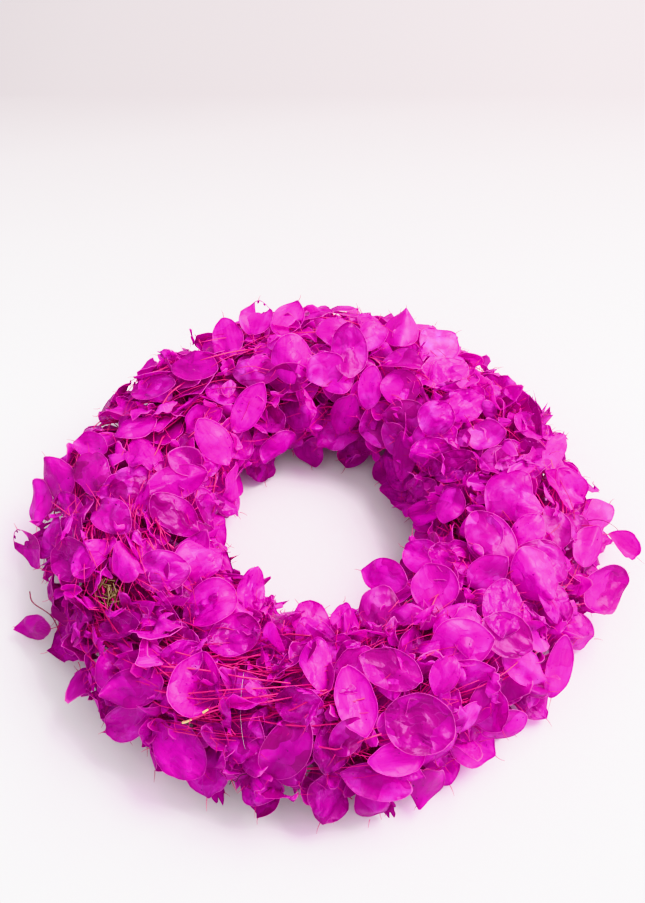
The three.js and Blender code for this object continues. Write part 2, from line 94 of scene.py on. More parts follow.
BUNCHES = [
    Bunch(58, 50, 68),
    Bunch(52, 49, 70, messy=1.3, shreds=30),
    Bunch(49, 47, 68, shreds=16),
    Bunch(51, 46, 72, messy=0.8, shreds=3),
    Bunch(52, 46, 72, messy=0.8, shreds=3),
    Bunch(50, 48, 68, messy=0.8, shreds=3),
    Bunch(54, 49, 66, messy=0.8, shreds=3),
    Bunch(58, 48, 66, along=24),
    Bunch(54, 50, 68, 6.5, (48, 58, 68, 78, 88, 98), 38, messy=1.4, shreds=16, covers=4),
    Bunch(55, 52, 66, along=30, slant=25, messy=1.6, shreds=16, covers=5),
    Bunch(51, 51, 66, 6.5, (50, 57, 64, 71, 78, 85), 40, 34, 1.6, 16, covers=2),
    Bunch(51, 50, 70, along=40, slant=12, messy=1.2, covers=6),
    Bunch(49, 52, 72, along=20),
    Bunch(54, 52, 70),
]
PITCH = 360 / len(BUNCHES)
FIRST_CLOCK = -4.9

# Rows of septa across a bunch: the place round the tube, how many, the mean heading and its spread
# (0 runs forward along the ring, 90 outwards and down), and the least and most tilt off the surface.
ROWS = [
    (-8, 2, 75, 60, (38, 72)),
    (14, 2, 70, 70, (18, 45)),
    (40, 2, 60, 100, (12, 34)),
    (66, 2, 60, 130, (12, 30)),
    (92, 2, 0, 180, (12, 30)),
    (120, 2, -60, 120, (12, 32)),
    (152, 1, -80, 70, (12, 34)),
    (184, 1, -85, 40, (20, 45)),
]

# The septa that stand out in the photograph: clock angle, place round the tube and share of the
# bunch's size of the septum's middle, the way its tip points in the view (0 right, 90 up), and its
# length and width.
MARKED = [
    (169, 118, 1, 5, 40, 21),
    (183, 122, 0.98, 310, 36, 22),
    (206, 102, 0.95, 170, 34, 24),
    (205, 130, 1, 10, 34, 25),
    (185, 14, 1.15, 95, 30, 16),
    (175, 18, 1.12, 250, 30, 17),
    (171, 34, 1.05, 100, 34, 22),
    (162, 48, 1, 150, 26, 16),
    (199, -12, 1.33, 150, 31, 15),
    (227, 45, 1, 170, 36, 22),
    (241, 20, 1, 300, 38, 28),
    (229, 18, 1, 180, 34, 20),
    (116, 62, 1.02, 97, 30, 20),
    (107, 58, 1.05, 75, 26, 22),
    (99, 66, 1.05, 60, 30, 20),
    (100, 102, 1, 265, 32, 26),
    (88, 112, 1, 210, 26, 22),
    (80, 96, 1.02, 92, 36, 23),
    (74, 78, 1.03, 75, 24, 18),
    (67, 66, 1.06, 85, 27, 22),
    (57, 55, 1.06, 40, 30, 26),
    (113, 102, 1, 175, 32, 18),
    (122, 125, 1, 235, 36, 18),
    (144, 128, 1, 295, 34, 20),
    (69, 120, 1, 265, 28, 15),
    (58, 108, 1, 190, 26, 22),
    (39, 112, 1.05, 60, 24, 22),
    (41, 152, 1, 275, 31, 15),
    (37, 90, 1, 30, 27, 22),
    (24, 92, 1, 200, 26, 18),
    (15, 48, 1.05, 70, 28, 15),
    (6, 48, 1.05, 330, 26, 15),
    (1, 28, 1.12, 60, 26, 18),
    (355, 18, 1.28, 340, 22, 17),
    (352, 38, 1.05, 270, 28, 17),
    (346, 100, 1, 320, 39, 26),
    (2, 90, 1.02, 60, 34, 28),
    (2, 130, 1, 80, 24, 17),
    (5, 156, 1, 200, 24, 15),
    (351, 78, 1, 250, 24, 18),
    (335, 145, 1, 160, 31, 21),
    (320, 118, 1.04, 300, 30, 27),
    (334, 95, 1, 230, 27, 19),
    (339, 68, 1.02, 320, 34, 27),
    (346, 14, 1.12, 60, 36, 27),
    (321, 66, 1.04, 350, 32, 25),
    (311, 80, 1.02, 200, 36, 26),
    (326, 18, 1.03, 285, 38, 19),
    (292, 50, 1.05, 170, 40, 33),
    (310, 10, 1.05, 225, 28, 19),
    (291, -4, 1.15, 262, 30, 18),
    (302, 70, 1, 80, 24, 16),
    (298, 138, 1, 250, 28, 24),
    (290, 88, 1.02, 345, 37, 23),
    (279, 75, 1, 290, 40, 22),
    (263, 48, 1.03, 235, 40, 25),
    (281, 18, 1.02, 180, 40, 18),
    (280, -8, 1.12, 270, 24, 20),
    (286, 34, 1, 15, 34, 18),
    (276, 55, 1, 240, 24, 17),
    (226, 115, 1, 195, 34, 26),
    (240, 108, 0.98, 190, 31, 25),
    (231, 150, 1.05, 80, 28, 17),
    (266, 150, 1, 130, 26, 23),
    (281, 152, 1.05, 85, 26, 12),
    (312, 150, 1.2, 170, 34, 20),
]
# The holes of the torn ones among them, by clock angle and place round the tube: the first and last
# ring and the first and last sector of the disc that are missing.
TORN = {
    (107, 58): (2, 6, 13, 19),
    (99, 66): (3, 6, 4, 9),
    (185, 14): (2, 6, 14, 22),
    (113, 102): (1, 4, 5, 10),
    (355, 18): (5, 9, 5, 13),
}
# Tattered ones that hang free into the hole and over the edge, given the same way.
TATTERS = [
    (163, 172, 1.0, 325, 27, 11),
    (24, 52, 1.1, 315, 30, 8),
    (30, 50, 1.08, 330, 24, 7),
    (249, -20, 1.1, 300, 16, 8),
    (283, -22, 1.15, 275, 18, 9),
]
# How pale the film of a few of them is, partly paler film and partly painted sheen.
PALE = {(57, 55): 1.6, (107, 58): 1.0, (346, 100): 0.9, (113, 102): 1.0}
# How far the tips of a few of them hook outwards.
HOOKED = {(199, -12): 9, (355, 18): 4}
# Where the photograph is seen from, and how far a marked one turns from facing out to facing it.
VIEWER = np.array([0.0, -347.0, 705.0])
MARKED_FACING = 0.5
# How deep in the core a marked one's stalk starts, how far from the bunch's ends and how many
# degrees above the core's lower edges, and about what share up the septum it ends.
STALK_SUNK, STALK_INSET, STALK_LOWEST, STALK_INTO = 4, 3, 10, 0.2
UP = np.array([0.0, 0.0, 1.0])


# Places on the wreath

def unit(v):
    return v / np.linalg.norm(v)


def dot(a, b):
    """The products of two lists of vectors, one by one."""
    return np.einsum("...i,...i->...", a, b)


def turned(points, clock):
    """Points turned about the wreath's axis."""
    c, s = math.cos(math.radians(clock)), math.sin(math.radians(clock))
    return points @ np.array([[c, s, 0.0], [-s, c, 0.0], [0.0, 0.0, 1.0]])


def circle(count):
    """The angles of so many places evenly round a circle."""
    return np.arange(count) * 2 * math.pi / count


def clock_at(point):
    """The clock angle of a point."""
    return math.degrees(math.atan2(point[1], point[0]))


def ring_point(clock, across, height):
    """A point off the tube's centre line: clock angle, distance outwards and height."""
    angle = np.radians(clock)
    reach = RING_RADIUS + across
    return np.stack(np.broadcast_arrays(reach * np.cos(angle), reach * np.sin(angle), height), -1)


def hay_point(clock, around, distance):
    """A point round the hay's own centre line, at a distance from it."""
    angle = np.radians(around)
    return ring_point(clock, distance * np.cos(angle), HAY_HEIGHT + distance * np.sin(angle))


def bunch_point(bunch, along, x, y, share):
    """A point of a bunch at a share of its full size. along is in degrees forward from its middle,
    and x and y are the cosine and sine of the place round the tube."""
    across = share * x * np.where(x > 0, bunch.out, bunch.inner)
    rise = share * y * np.where(y > 0, bunch.top - AXIS_HEIGHT, AXIS_HEIGHT)
    return ring_point(along, across, AXIS_HEIGHT + rise)


def place_on(bunch, along, around, share):
    angle = np.radians(around)
    return bunch_point(bunch, along, np.cos(angle), np.sin(angle), share)


def cross_place(bunch, point):
    """How far outwards and upwards a point lies in a bunch, as shares of its full size."""
    across = math.hypot(point[0], point[1]) - RING_RADIUS
    rise = point[2] - AXIS_HEIGHT
    wide = bunch.out if across > 0 else bunch.inner
    high = bunch.top - AXIS_HEIGHT if rise > 0 else AXIS_HEIGHT
    return across / wide, rise / high


def share_at(point, n):
    """How full a size of bunch n a point of the wreath lies at, and how far along the bunch."""
    clock = clock_at(point) - FIRST_CLOCK - n * PITCH
    return math.hypot(*cross_place(BUNCHES[n], point)), clock - 360 * round(clock / 360)


def core_share(along):
    """A bunch's core is full in the middle and smaller at both ends."""
    x = min(1, abs(along) / (PITCH / 2))
    return CORE_MIDDLE - (CORE_MIDDLE - CORE_END) * x * x


def facet_share(around):
    """How far out the core's flat facets lie, as a share of the way to the corners between them."""
    facet = 360 / CORE_SIDES
    turn = (around - 90) / facet
    middle = math.radians((turn - math.floor(turn) - 0.5) * facet)
    return math.cos(math.radians(facet / 2)) / math.cos(middle)


def on_core(around, inset):
    """A place round the tube, kept so many degrees above the core's lower edges."""
    lowest = CORE_LOWEST + inset
    return max(lowest, min(180 - lowest, around))


def bunch_at(clock):
    """The bunch whose middle is nearest to a clock angle."""
    n = math.floor((clock - FIRST_CLOCK) / PITCH + 0.5)
    return (n + 2 * len(BUNCHES)) % len(BUNCHES)


def clock_of(n):
    """The clock angle of a bunch's middle."""
    return FIRST_CLOCK + n * PITCH


def next_to(n):
    """The bunches behind and ahead of bunch n."""
    return (n - 1) % len(BUNCHES), (n + 1) % len(BUNCHES)


def larger_of(one, other):
    """A bunch as wide and as high as the larger of two."""
    return Bunch(*(max(getattr(one, key), getattr(other, key)) for key in ("out", "inner", "top")))


# Septa and where they grow

@dataclass
class Septum:
    """A papery oval on its foot, with the directions of its length, its width and its face."""

    root: np.ndarray
    axis: np.ndarray
    side: np.ndarray
    face: np.ndarray
    length: float
    width: float
    cup: float
    bend: float
    stalk: np.ndarray = None
    kind: str = "row"
    torn: tuple = None
    pale: float = None
    hook: float = None


state = SEED


def draw(low, high):
    """The same draws every time, from a 32-bit linear congruential generator."""
    global state
    state = (state * 1664525 + 1013904223) % 4294967296
    return low + (high - low) * (state / 4294967296)


def septum_frame(along, around, heading, tilt, roll):
    """The directions of a septum that grows at a place on a bunch."""
    along, around, heading, tilt, roll = (math.radians(a) for a in (along, around, heading, tilt, roll))
    outward = np.array([math.cos(along), math.sin(along), 0.0])
    forward = np.array([-outward[1], outward[0], 0.0])
    normal = outward * math.cos(around) + UP * math.sin(around)
    down = outward * math.sin(around) - UP * math.cos(around)
    axis = (forward * math.cos(heading) + down * math.sin(heading)) * math.cos(tilt)
    axis = axis + normal * math.sin(tilt)
    level = unit(np.cross(axis, normal))
    side = level * math.cos(roll) + np.cross(level, axis) * math.sin(roll)
    return normal, axis, side, np.cross(side, axis)


def oval(x, y):
    """Where a place on the disc lies on a septum: its share of the length and of half the width."""
    return (1 + y) / 2 + 0.04 * (1 - y * y), x * (1 - 0.08 * y)


def septum_point(septum, x, y, z):
    """A point of a septum. x and y are a place on a disc of radius 1, whose foot is at y = -1, and
    z is off the middle face. The disc becomes an oval, cupped and bent."""
    share, half = oval(x, y)
    off = z + septum.cup * (1 - x * x - y * y) + septum.bend * share * share
    steps = septum.length * share, (septum.width / 2) * half, off
    ways = septum.axis, septum.side, septum.face
    return septum.root + sum(np.multiply.outer(step, way) for step, way in zip(steps, ways))


def marked_septum(row, step):
    """The bunch nearest to a marked septum's foot, or one so many steps on, and the septum placed
    there. Its stalk runs to it from inside the core."""
    clock, around, share, tip, length, width = row
    c, s = math.cos(math.radians(around)), math.sin(math.radians(around))
    middle = bunch_point(BUNCHES[bunch_at(clock)], clock, c, s, share)
    to_viewer = unit(VIEWER - middle)
    normal = np.array([c * math.cos(math.radians(clock)), c * math.sin(math.radians(clock)), s])
    facing = unit(normal * (1 - MARKED_FACING) + to_viewer * MARKED_FACING)
    right = unit(np.cross(UP, to_viewer))
    above = np.cross(to_viewer, right)
    seen = right * math.cos(math.radians(tip)) + above * math.sin(math.radians(tip))
    axis = unit(seen - to_viewer * (seen @ facing) / (to_viewer @ facing))
    side = unit(np.cross(axis, facing))
    root = middle - axis * length / 2
    n = bunch_at(clock_at(root) + step * PITCH)
    root, axis, side = (turned(v, -clock_of(n)) for v in (root, axis, side))
    cup, bend = length % 5 - 2, width % 6 - 4
    septum = Septum(root, axis, side, np.cross(side, axis), length, width, cup, bend, kind="marked")
    for key, rows in (("torn", TORN), ("pale", PALE), ("hook", HOOKED)):
        setattr(septum, key, rows.get((clock, around)))
    septum.stalk = stalk_from(BUNCHES[n], septum)
    return n, placed(septum, clock_of(n))


def stalk_from(bunch, septum):
    """The two ends of a septum's stalk."""
    most = PITCH / 2 - math.degrees((bunch.half_gap + STALK_INSET) / RING_RADIUS)
    along = max(-most, min(most, clock_at(septum.root)))
    x, y = cross_place(bunch, septum.root)
    around = on_core(math.degrees(math.atan2(y, x)), STALK_LOWEST)
    share = core_share(along) * facet_share(around) - STALK_SUNK / (bunch.top - AXIS_HEIGHT)
    start = place_on(bunch, along, around, share)
    return np.array([start, septum_point(septum, 0.0, 2 * STALK_INTO - 1, 0.0)])


# The disc's corners, and its middle after them.
FAN_X = np.append(np.sin(circle(SIDES)), 0.0)
FAN_Y = np.append(-np.cos(circle(SIDES)), 0.0)


def fan_of(septum, clock, z, grow=1.0):
    """A septum's corners and its middle in the wreath, so far off its middle face."""
    return turned(septum_point(septum, grow * FAN_X, grow * FAN_Y, np.full(SIDES + 1, z)), clock)


def placed(septum, clock):
    """What the tests need of a septum that stands in the wreath: its middle face, a little larger
    than life, the same face moved off to both sides, and the posts that join those two."""
    grow = 1 + CLEAR / septum.width
    corners = fan_of(septum, clock, 0.0, grow)
    rim, middle = corners[:SIDES], corners[SIDES]
    edges = np.stack([rim, np.roll(rim, -1, 0)], 1)
    spokes = np.stack([rim, np.broadcast_to(middle, rim.shape)], 1)
    lines = [edges, spokes]
    if septum.stalk is not None:
        lines.append(turned(septum.stalk, clock)[None])
    near, far = (
        np.stack([fan_of(septum, clock, off, grow), fan_of(septum, clock, -off, grow)])
        for off in (CLEAR, STRAY_CLEAR)
    )
    return {
        "septum": septum,
        "corners": corners,
        "middle": middle,
        "reach": np.linalg.norm(corners - middle, axis=1).max(),
        "lines": np.concatenate(lines),
        "posts": np.stack([near[0], near[1]], 1),
        "near": near,
        "far": far,
    }


def pierces(lines, fans):
    """Whether any of the lines passes through a fan of triangles."""
    a, b = lines[:, None, 0], lines[:, None, 1]
    rims = fans[:, :SIDES]
    p = rims.reshape(-1, 3)
    q = np.roll(rims, -1, 1).reshape(-1, 3)
    r = np.repeat(fans[:, SIDES], SIDES, 0)
    ab, pq, pr, ap = b - a, q - p, r - p, a - p
    h = np.cross(ab, pr)
    det = dot(pq, h)
    ok = np.abs(det) >= 1e-9
    det = np.where(ok, det, 1.0)
    u = dot(ap, h) / det
    k = np.cross(ap, pq)
    v = dot(ab, k) / det
    t = dot(pr, k) / det
    return bool(np.any(ok & (u >= 0) & (v >= 0) & (u + v <= 1) & (t >= 0) & (t <= 1)))


def touches_any(one, others):
    """Whether a placed septum crosses or all but touches one of the others."""
    def within_reach(other):
        apart = np.linalg.norm(one["middle"] - other["middle"])
        return apart <= one["reach"] + other["reach"]

    close = [other for other in others if within_reach(other)]
    if not close:
        return False
    lines, posts, near = (np.concatenate([o[key] for o in close]) for key in ("lines", "posts", "near"))
    faces = np.stack([o["corners"] for o in close])
    return (
        pierces(one["lines"], near)
        or pierces(lines, one["near"])
        or pierces(one["posts"], faces)
        or pierces(posts, one["corners"][None])
    )


def in_core(point, n):
    """Whether a point of the wreath lies in the core of bunch n, or close to it."""
    share, along = share_at(point, n)
    spare = math.degrees(CORE_END_CLEAR / math.hypot(point[0], point[1]))
    return abs(along) <= PITCH / 2 + spare and share < core_share(along) + CORE_SIDE_CLEAR


def draw_septum(bunch, row, i, t):
    """A septum of a row, drawn for the t-th time: each further try is smaller, steeper and nearer
    to the middle of the bunch."""
    mean_around, count, mean_heading, spread, tilts = row
    ease = t / TRIES
    spot = (i + 0.5) / count - 0.5
    along = (spot * 0.94 + draw(-0.1, 0.1)) * PITCH * (1 - INWARD * ease)
    around = mean_around + draw(-9, 9)
    heading = mean_heading + spread * draw(-1, 1) * (1 - STRAIGHTER * ease)
    tilt = draw(*tilts) + STEEPER * ease
    normal, axis, side, face = septum_frame(along, around, heading, tilt, draw(-24, 24))
    length = draw(*SEPTUM_LENGTH) * (1 - SMALLER * ease)
    width = length * draw(*SEPTUM_ROUNDNESS)
    share = core_share(along) * facet_share(around)
    root = place_on(bunch, along, around, share) - normal * SEPTUM_SUNK
    return Septum(root, axis, side, face, length, width, draw(-2, 3), draw(-4, 3))


def stray_curves(n):
    """Stems that stray: they leave the sheaf past the thread, rise through the gap between two
    cores and lie over one of them, ahead or behind."""
    one = BUNCHES[n]
    both = larger_of(one, BUNCHES[n - 1])
    back = -PITCH / 2
    curves = []
    for i, around in enumerate(one.strays):
        side = 1 if i % 2 else -1
        fan = 2 * i / (len(one.strays) - 1) - 1
        waist = STRAY_HALF_WAIST * fan
        curves.append(np.array([
            hay_point(back - side * 4, 90 + waist, STRAY_LOW),
            hay_point(back + side * 1.2, 90 + waist, STRAY_LOW),
            hay_point(back + side * 2, 90 + 1.5 * waist, CORE_TUNNEL),
            place_on(both, back + side * 2, around, 0.68),
            place_on(both, back + side * 3.5, around, 0.84),
            place_on(both, back + side * (9 + 2 * (i % 3)), around, 0.95),
        ]))
    return curves


def smooth_curve(points, steps):
    """Points along a centripetal Catmull-Rom curve, evenly spaced in its own parameter."""
    points = np.asarray(points, float)
    ends = [2 * points[0] - points[1]], [2 * points[-1] - points[-2]]
    p = np.concatenate([ends[0], points, ends[1]])
    found = []
    for t in np.linspace(0, len(points) - 1, steps + 1):
        i = min(int(t), len(points) - 2)
        w = t - i
        a, b, c, d = p[i : i + 4]
        dt = [max(np.linalg.norm(v - u) ** 0.5, 1e-4) for u, v in ((a, b), (b, c), (c, d))]
        out = ((b - a) / dt[0] - (c - a) / (dt[0] + dt[1]) + (c - b) / dt[1]) * dt[1]
        into = ((c - b) / dt[1] - (d - b) / (dt[1] + dt[2]) + (d - c) / dt[2]) * dt[1]
        c2 = -3 * b + 3 * c - 2 * out - into
        c3 = 2 * b - 2 * c + out + into
        found.append(b + out * w + c2 * w * w + c3 * w * w * w)
    return np.array(found)


def stray_lines(n):
    """The stray stems of a bunch as lines in the wreath's frame."""
    lines = []
    for points in stray_curves(n):
        spots = turned(smooth_curve(points, STRAY_STEPS), clock_of(n))
        lines += list(zip(spots[:-1], spots[1:]))
    return lines


def fits(at, n, stems, done):
    """Whether a septum of bunch n clears the surface, the next cores, the stray stems and the
    septa found so far."""
    if at["corners"][:, 2].min() < SEPTUM_THICKNESS:
        return False
    if any(in_core(corner, k) for corner in at["corners"] for k in next_to(n)):
        return False
    if len(stems) and pierces(stems, at["far"]):
        return False
    return not touches_any(at, [other for k in (n, *next_to(n)) for other in done[k]])


def lay_marked(done):
    """Each marked septum, in the first of three bunches where it touches none of the others'."""
    for row in MARKED:
        for step in (0, 1, -1):
            n, at = marked_septum(row, step)
            others = [other for k, found in enumerate(done) if k != n for other in found]
            if not touches_any(at, others):
                done[n].append(at)
                break


def lay_rows(n, done):
    """The rows of bunch n. A septum that doesn't fit is drawn again, and left out when no place is
    found."""
    stems = np.array(stray_lines(n) + stray_lines(next_to(n)[1]))
    for row in ROWS:
        for i in range(row[1]):
            for t in range(TRIES):
                at = placed(draw_septum(BUNCHES[n], row, i, t), clock_of(n))
                if fits(at, n, stems, done):
                    done[n].append(at)
                    break


def lay_out():
    """Every septum of every bunch, as in the solids."""
    global state
    done = [[] for _ in BUNCHES]
    lay_marked(done)
    for n in range(len(BUNCHES)):
        state = SEED + SEED_STEP * n
        lay_rows(n, done)
    return done


layout = lay_out()


# Finer septa

# How low and how near to the core a filling may lie, and half the thickness of the slab that the
# tests take it for.
FILL_LOWEST, CORE_FACE, SLAB = 1.2, 0.02, 0.3
# A filling is tested against septa whose middles lie within half its length and this of its own.
NEAR_ENOUGH = 22
# One plain filling in so many is torn, from one of so many sectors on.
TORN_EVERY, TORN_SECTORS = 11, 14
# Places round the tube, with the mean heading of the fillings there and its spread.
AROUND, HEADINGS, SPREADS = (-10, 60, 90, 120, 184), (75, 60, 0, -60, -85), (70, 130, 180, 130, 70)


@dataclass
class Filling:
    """Septa drawn to fill a bunch: how many at most, how many tries, and the ranges they are drawn
    from."""

    kind: str
    most: int
    tries: int
    share: tuple
    length: tuple
    roundness: tuple
    tilt: tuple
    roll: float


FILLINGS = [
    Filling("fill", 58, 900, (0.74, 1.0), (17, 32), (0.55, 0.9), (-12, 55), 45),
    Filling("scrap", 44, 500, (0.7, 1.0), (9, 16), (0.4, 0.8), (-20, 80), 80),
]
COVERS = Filling("cover", 0, 350, (0.93, 1.0), (26, 36), (0.58, 0.8), (-6, 18), 20)
SHREDS = Filling("shred", 0, 400, (0.9, 1.08), (12, 24), (0.15, 0.35), (-10, 60), 80)
# How far past the outermost share of its middle a filling may reach.
OVER = 0.05
# Where the hay shows through the septa: clock angle, place round the tube, share and reach.
GLIMPSE = (204.5, 64, 0.7, 10)
# How high over a marked septum a filling may not lie, and how far beside it, as shares of the
# lengths of both.
OVERHEAD, BESIDE, OWN = 24, 0.44, 0.2


def slab_tree(septum, clock):
    """A thin closed slab in a septum's place, to test whether it crosses another."""
    points = np.concatenate([fan_of(septum, clock, z) for z in (SLAB, -SLAB)])
    low = SIDES + 1
    faces = []
    for i in range(SIDES):
        j = (i + 1) % SIDES
        faces += [(i, j, SIDES), (low + j, low + i, low + SIDES), (j, i, low + i), (low + i, low + j, j)]
    return BVHTree.FromPolygons([Vector(p) for p in points], faces, all_triangles=True)


def fill_septum(bunch, filling, rng):
    """A septum anywhere between a bunch's core and its outside."""
    along = rng.uniform(-0.52, 0.52) * PITCH
    around = rng.triangular(-28, 205, 88)
    mean, spread = np.interp(around, AROUND, HEADINGS), np.interp(around, AROUND, SPREADS)
    heading = mean + spread * rng.uniform(-1, 1)
    tilt, roll = rng.uniform(*filling.tilt), filling.roll * rng.uniform(-1, 1)
    _, axis, side, face = septum_frame(along, around, heading, tilt, roll)
    length = rng.uniform(*filling.length)
    middle = place_on(bunch, along, around, rng.uniform(*filling.share))
    root = middle - axis * length / 2
    cup, bend = rng.uniform(-2, 3), rng.uniform(-4, 4)
    width = length * rng.uniform(*filling.roundness)
    return Septum(root, axis, side, face, length, width, cup, bend, kind=filling.kind)


def stands_clear(septum, n, highest):
    """Whether a septum lies over the surface, in its bunch's bounds and out of its core."""
    for corner in fan_of(septum, clock_of(n), 0.0)[:SIDES]:
        share, along = share_at(corner, n)
        if corner[2] < FILL_LOWEST or share > highest:
            return False
        if share < core_share(along) + CORE_FACE:
            return False
    return True


def views():
    """What stays in sight: the middle, the way out and the size of each marked septum and of the
    place where the hay shows."""
    found = []
    for n, septa in enumerate(layout):
        for at in septa:
            septum = at["septum"]
            if septum.kind == "marked":
                face = turned(septum.face, clock_of(n))
                found.append((at["middle"], face, septum.length * BESIDE))
    clock, around, share, reach = GLIMPSE
    bunch = BUNCHES[bunch_at(clock)]
    spots = [place_on(bunch, 0, around, part) for part in (share, share + 0.1)]
    low, high = (turned(spot, clock) for spot in spots)
    return [*found, (low, unit(high - low), reach)]


def hides(middle, length, seen):
    """Whether a filling would hide something that stays in sight."""
    for place, face, reach in seen:
        offset = middle - place
        above = offset @ face
        if 0 < above < OVERHEAD and np.linalg.norm(offset - face * above) < reach + length * OWN:
            return True
    return False


def fill_bunch(n, filling, found, seen):
    """Adds what finds room in a bunch to the septa found so far, as (septum, middle, slab)."""
    rng = random.Random(SEED + n)
    clock = clock_of(n)
    added = 0
    for _ in range(filling.tries):
        septum = fill_septum(BUNCHES[n], filling, rng)
        if not stands_clear(septum, n, filling.share[1] + OVER):
            continue
        middle = turned(septum.root + septum.axis * septum.length / 2, clock)
        if hides(middle, septum.length, seen):
            continue
        near = [row for k in (n, *next_to(n)) for row in found[k]]
        reach = septum.length / 2 + NEAR_ENOUGH
        close = [slab for _, other, slab in near if np.linalg.norm(other - middle) < reach]
        slab = slab_tree(septum, clock)
        if any(slab.overlap(other) for other in close):
            continue
        if filling.kind == "fill" and added % TORN_EVERY == 0:
            sector = rng.randrange(TORN_SECTORS)
            septum.torn = (1, rng.randint(2, 3), sector, sector + rng.randint(2, 5))
        found[n].append((septum, middle, slab))
        added += 1
        if added == filling.most:
            return


def with_fill():
    """Each bunch's septa, those of the solids first and then the smaller ones that fill it."""
    found = []
    for n, septa in enumerate(layout):
        clock = clock_of(n)
        found.append([(at["septum"], at["middle"], slab_tree(at["septum"], clock)) for at in septa])
    seen = views()
    for n, bunch in enumerate(BUNCHES):
        fill_bunch(n, replace(COVERS, most=bunch.covers), found, seen)
    for filling in FILLINGS:
        for n in range(len(BUNCHES)):
            fill_bunch(n, filling, found, seen)
    for n, bunch in enumerate(BUNCHES):
        fill_bunch(n, replace(SHREDS, most=bunch.shreds), found, seen)
    for row in TATTERS:
        n, at = marked_septum(row, 0)
        at["septum"].kind = "tatter"
        found[n].append((at["septum"], at["middle"], None))
    return [[septum for septum, _, _ in septa] for septa in found]


# Meshes

centre_low, centre_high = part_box("hay_ring")
CENTRE = np.array([(centre_low[0] + centre_high[0]) / 2, (centre_low[1] + centre_high[1]) / 2, 0.0])


def make_piece(name, parts, slot, replaced=()):
    """A piece from parts that hold points in the wreath's frame, faces and attributes."""
    points = np.concatenate([part["points"] for part in parts]) * MM + CENTRE
    offsets = np.cumsum([0] + [len(part["points"]) for part in parts])
    faces = [f + offset for part, offset in zip(parts, offsets) for f in part["faces"]]
    loops = np.concatenate([f.ravel() for f in faces])
    sizes = np.concatenate([np.full(len(f), f.shape[1]) for f in faces])
    mesh = bpy.data.meshes.new(name)
    mesh.vertices.add(len(points))
    mesh.vertices.foreach_set("co", points.ravel())
    mesh.loops.add(len(loops))
    mesh.loops.foreach_set("vertex_index", loops)
    mesh.polygons.add(len(sizes))
    mesh.polygons.foreach_set("loop_start", np.cumsum(sizes) - sizes)
    mesh.polygons.foreach_set("use_smooth", np.ones(len(sizes), bool))
    for key in parts[0]["marks"]:
        values = np.concatenate([part["marks"][key] for part in parts])
        kind, field_name = ("FLOAT", "value") if values.ndim == 1 else ("FLOAT_VECTOR", "vector")
        attribute = mesh.attributes.new(key, kind, "POINT")
        attribute.data.foreach_set(field_name, values.ravel())
    mesh.update(calc_edges=True)
    mesh.validate()
    mesh.materials.append(MATERIALS[slot])
    piece = bpy.data.objects.new(name, mesh)
    bpy.context.scene.collection.objects.link(piece)
    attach(piece, "root")
    if replaced:
        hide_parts(*replaced)


# The discs that septa are made from: how many sectors, and the radii of the rings.
FINE_DISC = (36, (0.16, 0.32, 0.48, 0.62, 0.75, 0.86, 0.965, 0.985, 1.0))
COVER_DISC = (28, (0.2, 0.4, 0.58, 0.74, 0.88, 0.965, 0.985, 1.0))
PLAIN_DISC = (20, (0.4, 0.72, 0.92, 0.985, 1.0))
SCRAP_DISC = (12, (0.5, 0.9, 0.985, 1.0))
DISCS = {
    "marked": FINE_DISC,
    "row": FINE_DISC,
    "cover": COVER_DISC,
    "fill": PLAIN_DISC,
    "scrap": SCRAP_DISC,
    "shred": PLAIN_DISC,
    "tatter": FINE_DISC,
}
# Half the thickness of a septum's film, of the bead round it and of its edge, and the rings where
# the painted shade line inside the rim and the bead lie.
FILM, BEAD, EDGE = 0.09, 0.26, 0.05
RIM_SHADE_RING, BEAD_RING = 0.965, 0.985
# How many waves, creases and flat faces a septum has.
WAVES, CREASES, FACETS = 3, 3, 9
# What is added to a bend that is less than this either way.
LEAST_BEND = 0.05
# The share of a bunch's size up to which its septa get the full painted shade of the deep inside.
INSIDE = 0.66
# What lies lower than the first height is pressed up, to no lower than the second.
PRESSED, FLAT = 2.0, 0.2
# The heart of a bunch: its points round the outside and round the hay, its rows from end to end,
# and how deep under the core it lies and how rough it is, as shares of the bunch's size.
HEART_OUTSIDE, HEART_INSIDE, HEART_ROWS, HEART_SUNK, HEART_ROUGH = 44, 12, 16, 0.045, 0.035


def disc_points(angles, rings):
    """The places on the disc that a septum is made from: x, y, half its thickness, and 1 on its
    rim, which is painted paler, and -1 on the ring inside that, where a line of shade is painted."""
    turn = np.tile(circle(angles), len(rings))
    radius = np.repeat(rings, angles)
    x = np.append(0.0, radius * np.sin(turn))
    y = np.append(0.0, -radius * np.cos(turn))
    thick = np.append(FILM, np.where(radius == BEAD_RING, BEAD, np.where(radius == 1, EDGE, FILM)))
    rim = np.append(0.0, np.where(radius == RIM_SHADE_RING, -1.0, radius >= BEAD_RING))
    return x, y, thick, rim


def disc_faces(angles, rings, kept):
    """The faces of a closed disc, of which kept says which cells (ring, angle) are there."""
    count = 1 + len(rings) * angles
    cells = []
    for a in range(angles):
        b = (a + 1) % angles
        if kept(0, a):
            cells.append((0, 1 + a, 1 + b))
        for r in range(1, len(rings)):
            low, high = 1 + (r - 1) * angles, 1 + r * angles
            if kept(r, a):
                cells.append((low + a, high + a, high + b, low + b))
    edges = {(cell[i - 1], cell[i]) for cell in cells for i in range(len(cell))}
    walls = [(v, u, count + u, count + v) for u, v in sorted(edges) if (v, u) not in edges]
    found = []
    for size in (3, 4):
        top = np.array([cell for cell in cells if len(cell) == size]).reshape(-1, size)
        found += [top, top[:, ::-1] + count]
    return [f for f in (*found, np.array(walls)) if len(f)]


def whole(ring, angle):
    return True


